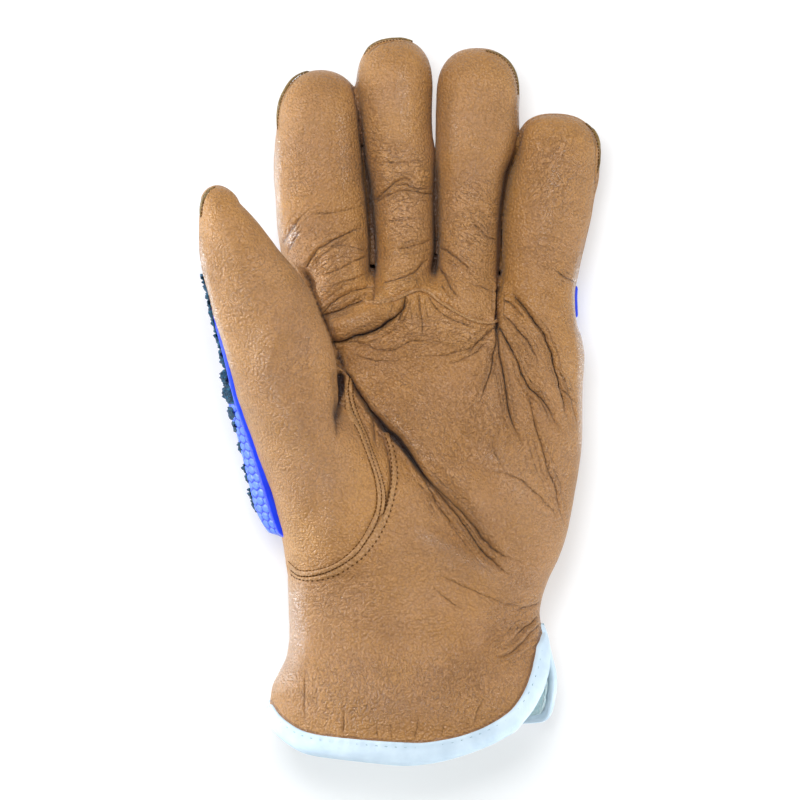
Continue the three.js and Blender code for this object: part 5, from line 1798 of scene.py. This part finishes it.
class Look:
    """A material's nodes, with short ways to add them"""

    def __init__(self, name):
        self.material = bpy.data.materials.new(name)
        self.material.use_nodes = True
        self.tree = self.material.node_tree
        self.shader = self.tree.nodes["Principled BSDF"]
        self.place = self.add("ShaderNodeTexCoord").outputs["Object"]

    def add(self, kind, inputs=(), **settings):
        node = self.tree.nodes.new(kind)
        for key, value in settings.items():
            setattr(node, key, value)
        for key, value in dict(inputs).items():
            self.put(node.inputs[key], value)
        return node

    def put(self, socket, value):
        if isinstance(value, bpy.types.NodeSocket):
            self.tree.links.new(value, socket)
        else:
            socket.default_value = value

    def noise(self, scale, detail, roughness=0.5, place=None, distortion=0.0):
        inputs = {"Scale": scale, "Detail": detail, "Roughness": roughness, "Distortion": distortion}
        inputs["Vector"] = place or self.place
        return self.add("ShaderNodeTexNoise", inputs).outputs["Fac"]

    def cells(self, scale, feature, smoothness=None, place=None):
        inputs = {"Scale": scale, "Vector": place or self.place}
        node = self.add("ShaderNodeTexVoronoi", inputs, feature=feature)
        if smoothness is not None:
            node.inputs["Smoothness"].default_value = smoothness
        return node.outputs["Distance"]

    def stretched(self, scale, turn=(0, 0, 0)):
        """Places turned, then stretched along their axes"""
        turned = self.add("ShaderNodeMapping", {"Vector": self.place, "Rotation": turn}).outputs["Vector"]
        return self.add("ShaderNodeMapping", {"Vector": turned, "Scale": scale}).outputs["Vector"]

    def vector(self, operation, a, b):
        return self.add("ShaderNodeVectorMath", {0: a, 1: b}, operation=operation).outputs[0]

    def bent(self, scale, reach):
        """Places moved about by noise, so that what is drawn on them looks grown"""
        moves = self.add("ShaderNodeTexNoise", {"Scale": scale, "Detail": 2.0, "Vector": self.place})
        centred = self.vector("SUBTRACT", moves.outputs["Color"], (0.5, 0.5, 0.5))
        return self.vector("ADD", self.place, self.vector("MULTIPLY", centred, (reach,) * 3))

    def math(self, operation, a, b=0.0):
        node = self.add("ShaderNodeMath", operation=operation)
        self.put(node.inputs[0], a)
        self.put(node.inputs[1], b)
        return node.outputs[0]

    def times(self, a, b):
        return self.math("MULTIPLY", a, b)

    def ramp(self, value, stops):
        """A value turned into a colour: stops are (place, colour)"""
        node = self.add("ShaderNodeValToRGB", {"Fac": value})
        band = node.color_ramp
        while len(band.elements) < len(stops):
            band.elements.new(0.5)
        for element, (place, colour) in zip(band.elements, stops):
            element.position = place
            element.color = (*colour, 1)
        return node.outputs["Color"]

    def between(self, value, low, high, out_low=0.0, out_high=1.0):
        inputs = {"Value": value, "From Min": low, "From Max": high, "To Min": out_low, "To Max": out_high}
        return self.add("ShaderNodeMapRange", inputs).outputs["Result"]

    def mix(self, share, a, b):
        node = self.add("ShaderNodeMix", data_type="RGBA")
        self.put(node.inputs[0], share)
        for socket, value in ((node.inputs[6], a), (node.inputs[7], b)):
            self.put(socket, value if isinstance(value, bpy.types.NodeSocket) else (*value, 1))
        return node.outputs[2]

    def attribute(self, name):
        return self.add("ShaderNodeAttribute", attribute_name=name).outputs["Fac"]

    def bump(self, heights, strength=1.0):
        """Bumps from (height, depth in metres) pairs"""
        normal = None
        for height, depth in heights:
            node = self.add("ShaderNodeBump", {"Strength": strength, "Distance": depth, "Height": height})
            if normal is not None:
                self.tree.links.new(normal, node.inputs["Normal"])
            normal = node.outputs["Normal"]
        for name in ("Normal", "Coat Normal"):
            self.tree.links.new(normal, self.shader.inputs[name])

    def set(self, **values):
        for key, value in values.items():
            self.put(self.shader.inputs[key.replace("_", " ")], value)


def srgb(red, green, blue):
    """A screen colour from 0 to 255 as scene values"""
    shares = (red / 255, green / 255, blue / 255)
    return tuple(((c + 0.055) / 1.055) ** 2.4 if c > 0.04 else c / 12.92 for c in shares)


def darker(colour, share):
    return tuple(share * c for c in colour)


def wrinkle_lines(look, degrees, scale, thin):
    """Fine valleys that run in one direction: 1 in a valley and 0 between them"""
    place = look.stretched((0.42, 1.0, 0.6), (0, 0, math.radians(-degrees)))
    height = look.noise(scale, 2, 0.5, place, 0.6)
    away = look.math("ABSOLUTE", look.math("SUBTRACT", height, 0.5))
    return look.between(away, thin, 0.0)


def wrinkle_sheen_share(look):
    """Painted sheen: how much of the leather is bunched up in fine wrinkles, in patches"""
    bunched = look.attribute("run_0")
    for i in range(1, len(RUNS)):
        bunched = look.math("ADD", bunched, look.attribute(f"run_{i}"))
    patchy = look.between(look.noise(70, 3), 0.3, 0.7, 0.25, 1.0)
    return look.times(look.math("MINIMUM", bunched, 1.0), patchy)


def grain_valleys(look):
    """Valleys of the grain: crackle in patches, and lines that run as the wrinkle zones say"""
    crackle = look.cells(950, "DISTANCE_TO_EDGE", place=look.bent(700, 0.0006))
    patches = look.between(look.noise(120, 2), 0.35, 0.65, 0.1, 0.5)
    valleys = look.times(look.between(crackle, 0.13, 0.0), patches)
    for i, degrees in enumerate(RUNS):
        lines = wrinkle_lines(look, degrees, 720, 0.05)
        lines = look.times(lines, look.attribute(f"run_{i}"))
        valleys = look.math("MAXIMUM", valleys, lines)
    return valleys


def fold_lines(look):
    """Painted shade: dark broken lines at the bottom of the folds"""
    wobble = look.times(look.math("SUBTRACT", look.noise(900, 2), 0.5), 0.9)
    away = look.math("ABSOLUTE", look.math("ADD", look.attribute("line"), wobble))
    broken = look.between(look.noise(260, 2), 0.3, 0.6, 0.45, 1.0)
    near = look.times(look.attribute("near"), broken)
    folds = look.times(look.between(away, 0.27, 0.03), near)
    return look.math("MINIMUM", folds, 1.0)


def leather_look(name, tones):
    look = Look(name)
    light, middle, dark, wrinkle_sheen, crease = (srgb(*tone) for tone in tones)
    colour = look.ramp(look.noise(38, 3, 0.5), [(0.3, dark), (0.5, middle), (0.7, light)])
    pebble = look.cells(1150, "SMOOTH_F1", 0.3)
    pores = look.between(pebble, 0.3, 0.7)
    valleys = grain_valleys(look)
    folds = fold_lines(look)
    # Painted shade in the folds and between the fingers; then the seams darker, with painted shade beside the
    # tape
    shade = look.math("POWER", look.attribute("crease"), 1.5)
    seam = look.between(look.attribute("seam"), 0.25, 1.0)
    # Over the tone: a painted sheen on wrinkled leather, the grain's valleys and pores, the painted shade of
    # the fold lines, folds and gaps, and the seams
    layers = [
        (wrinkle_sheen_share(look), 0.45, wrinkle_sheen),
        (valleys, 0.35, crease),
        (pores, 0.27, crease),
        (folds, 0.6, darker(crease, 0.5)),
        (shade, 0.75, darker(crease, 0.3)),
        (seam, 0.5, crease),
    ]
    for share, strength, tone in layers:
        colour = look.mix(look.times(share, strength), colour, tone)
    worn = look.between(look.noise(1100, 3), 0.35, 0.65, 0.6, 1.1)
    gleam = look.times(look.attribute("gleam"), worn)
    rough = look.between(look.noise(240, 3, 0.6), 0.3, 0.7, 0.36, 0.46)
    look.set(Base_Color=colour, Roughness=rough, Specular_IOR_Level=0.55)
    look.set(Sheen_Weight=0.1, Sheen_Roughness=0.3, Sheen_Tint=(1.0, 0.95, 0.9, 1.0))
    look.set(Coat_Weight=look.between(gleam, 0.05, 0.9, 0.0, 1.0), Coat_Roughness=0.22, Coat_IOR=2.8)
    look.bump([
        (look.noise(300, 3, 0.5), 0.00016),
        (look.math("SUBTRACT", 1.0, valleys), 0.0003),
        (look.math("SUBTRACT", 1.0, folds), 0.0004),
        (look.math("SUBTRACT", 1.0, pebble), 0.00045),
        (look.noise(1300, 3, 0.6), 0.00015),
    ], 0.9)
    return look.material


def thread_look(name, colour):
    look = Look(name)
    inputs = {"Scale": 900, "Distortion": 2.0, "Vector": look.place}
    twist = look.add("ShaderNodeTexWave", inputs, bands_direction="DIAGONAL")
    tone = look.mix(twist.outputs["Fac"], darker(colour, 0.6), colour)
    look.set(Base_Color=tone, Roughness=0.6, Specular_IOR_Level=0.15)
    look.bump([(twist.outputs["Fac"], 0.0001)])
    return look.material


def tape_look():
    look = Look("binding_tape")
    weave = look.noise(1400, 2, 0.5, look.stretched((1, 0.25, 1)))
    whites = [(0.3, srgb(196, 214, 228)), (0.6, srgb(216, 232, 243)), (0.8, srgb(228, 240, 248))]
    tone = look.ramp(look.noise(90, 3), whites)
    look.set(Base_Color=tone, Roughness=0.62, Specular_IOR_Level=0.35)
    look.bump([(weave, 0.00012), (look.noise(350, 2), 0.0002)], 0.6)
    return look.material


def lining_look():
    look = Look("cuff_knit")
    loops = look.cells(1300, "F1", place=look.stretched((1, 0.6, 1)))
    tone = look.ramp(loops, [(0.1, srgb(238, 249, 249)), (0.6, srgb(208, 232, 234))])
    look.set(Base_Color=tone, Roughness=0.9, Specular_IOR_Level=0.2)
    look.bump([(loops, 0.0004)], 0.8)
    return look.material


def guard_look():
    look = Look("guard_blue")
    grain = look.noise(900, 3, 0.6)
    blue = look.ramp(look.noise(60, 2), [(0.3, srgb(4, 42, 205)), (0.7, srgb(18, 66, 232))])
    pale = look.mix(grain, srgb(60, 96, 224), srgb(104, 142, 242))
    cell = look.between(look.attribute("cell"), 0.1, 0.24)
    rail = look.attribute("rail")
    tone = look.mix(cell, srgb(16, 44, 190), pale)
    tone = look.mix(rail, tone, blue)
    look.set(Base_Color=tone, Roughness=look.between(grain, 0.3, 0.7, 0.3, 0.42), Specular_IOR_Level=0.5)
    look.bump([(grain, 0.00006)], 0.5)
    return look.material


def lump_look():
    look = Look("guard_dark")
    grain = look.noise(1500, 4, 0.65)
    tone = look.ramp(grain, [(0.38, srgb(0, 24, 40)), (0.52, srgb(0, 56, 84)), (0.68, srgb(8, 100, 132))])
    look.set(Base_Color=tone, Roughness=0.5, Specular_IOR_Level=0.3)
    look.bump([(grain, 0.0004), (look.noise(3200, 2), 0.00015)], 0.9)
    return look.material


def floor_look():
    look = Look("studio_floor")
    tone = look.mix(look.noise(3, 2), (0.5, 0.505, 0.51), (0.53, 0.53, 0.53))
    look.set(Base_Color=tone, Roughness=0.9, Specular_IOR_Level=0.1)
    look.set(Emission_Color=(1.0, 1.0, 1.0, 1.0), Emission_Strength=FLOOR_GLOW)
    return look.material


# The studio


def build_stage():
    half = FLOOR_HALF * MM
    mesh = bpy.data.meshes.new("studio_floor")
    corners = [(-half, -half, 0), (half, -half, 0), (half, half, 0), (-half, half, 0)]
    mesh.from_pydata(corners, [], [(0, 1, 2, 3)])
    mesh.materials.append(floor_look())
    floor = bpy.data.objects.new("studio_floor", mesh)
    bpy.context.scene.collection.objects.link(floor)


def area_light(light):
    lamp = bpy.data.lights.new(light.name, "AREA")
    lamp.shape = "RECTANGLE"
    lamp.size, lamp.size_y = light.size
    lamp.energy = light.power
    lamp.color = light.colour
    obj = bpy.data.objects.new(light.name, lamp)
    obj.location = light.place
    obj.rotation_mode = "QUATERNION"
    obj.rotation_quaternion = (Vector(LIGHT_TARGET) - Vector(light.place)).to_track_quat("-Z", "Y")
    bpy.context.scene.collection.objects.link(obj)


def build_lights():
    world = bpy.data.worlds.new("studio_air")
    world.use_nodes = True
    background = world.node_tree.nodes["Background"]
    background.inputs["Color"].default_value = AIR_COLOUR
    background.inputs["Strength"].default_value = AIR_STRENGTH
    bpy.context.scene.world = world
    for light in LIGHTS:
        area_light(light)


def build_camera():
    """A long lens straight above, whose frame is the photo's"""
    camera = bpy.data.cameras.new("camera")
    camera.lens = CAMERA_LENS
    camera.sensor_width = CAMERA_SENSOR
    camera.clip_end = 50
    distance = PHOTO_SIDE * PIXEL * MM * CAMERA_LENS / CAMERA_SENSOR
    obj = bpy.data.objects.new("camera", camera)
    obj.location = (0, 0, distance + GLOVE_MIDDLE)
    bpy.context.scene.collection.objects.link(obj)
    bpy.context.scene.camera = obj
    bpy.context.scene.view_settings.view_transform = "Standard"


# Worked out once, because every panel uses them
HEM = hem_line()
ALL_CREASES = with_companions(CREASES)
build_camera()
build_stage()
build_lights()

leather = leather_look("tan_leather", TAN)
band = leather_look("pale_leather", PALE)
thread = thread_look("dark_thread", srgb(104, 66, 28))
pale_thread = thread_look("pale_thread", srgb(176, 204, 214))

skin = refined(glove_skin())
surface = Surface(skin)
build_panels(skin, leather)
build_thumb_seam(surface, band, thread)
build_finger_welt(surface, band)
build_tip_seams(surface, leather_look("raw_edge", RAW), thread)

tape = tape_look()
palm_outer, palm_inner = palm_tape_line(PALM_TAPE_OUTER), palm_tape_line(PALM_TAPE_INNER)
build_tape("binding_palm_tape", palm_outer, palm_inner, tape, "cuff_binding_palm")
build_tape("binding_back_tape", BACK_TAPE_OUTER, BACK_TAPE_INNER, tape, "cuff_binding_back")
build_tape_stitches("binding_palm_stitches", palm_outer, palm_inner, pale_thread)
build_tape_stitches("binding_back_stitches", BACK_TAPE_OUTER, BACK_TAPE_INNER, pale_thread)
build_lining(lining_look())

rubber = guard_look()
build_thumb_guard(rubber)
build_thumb_ridge(lump_look())
build_knuckle_guard(skin, rubber)
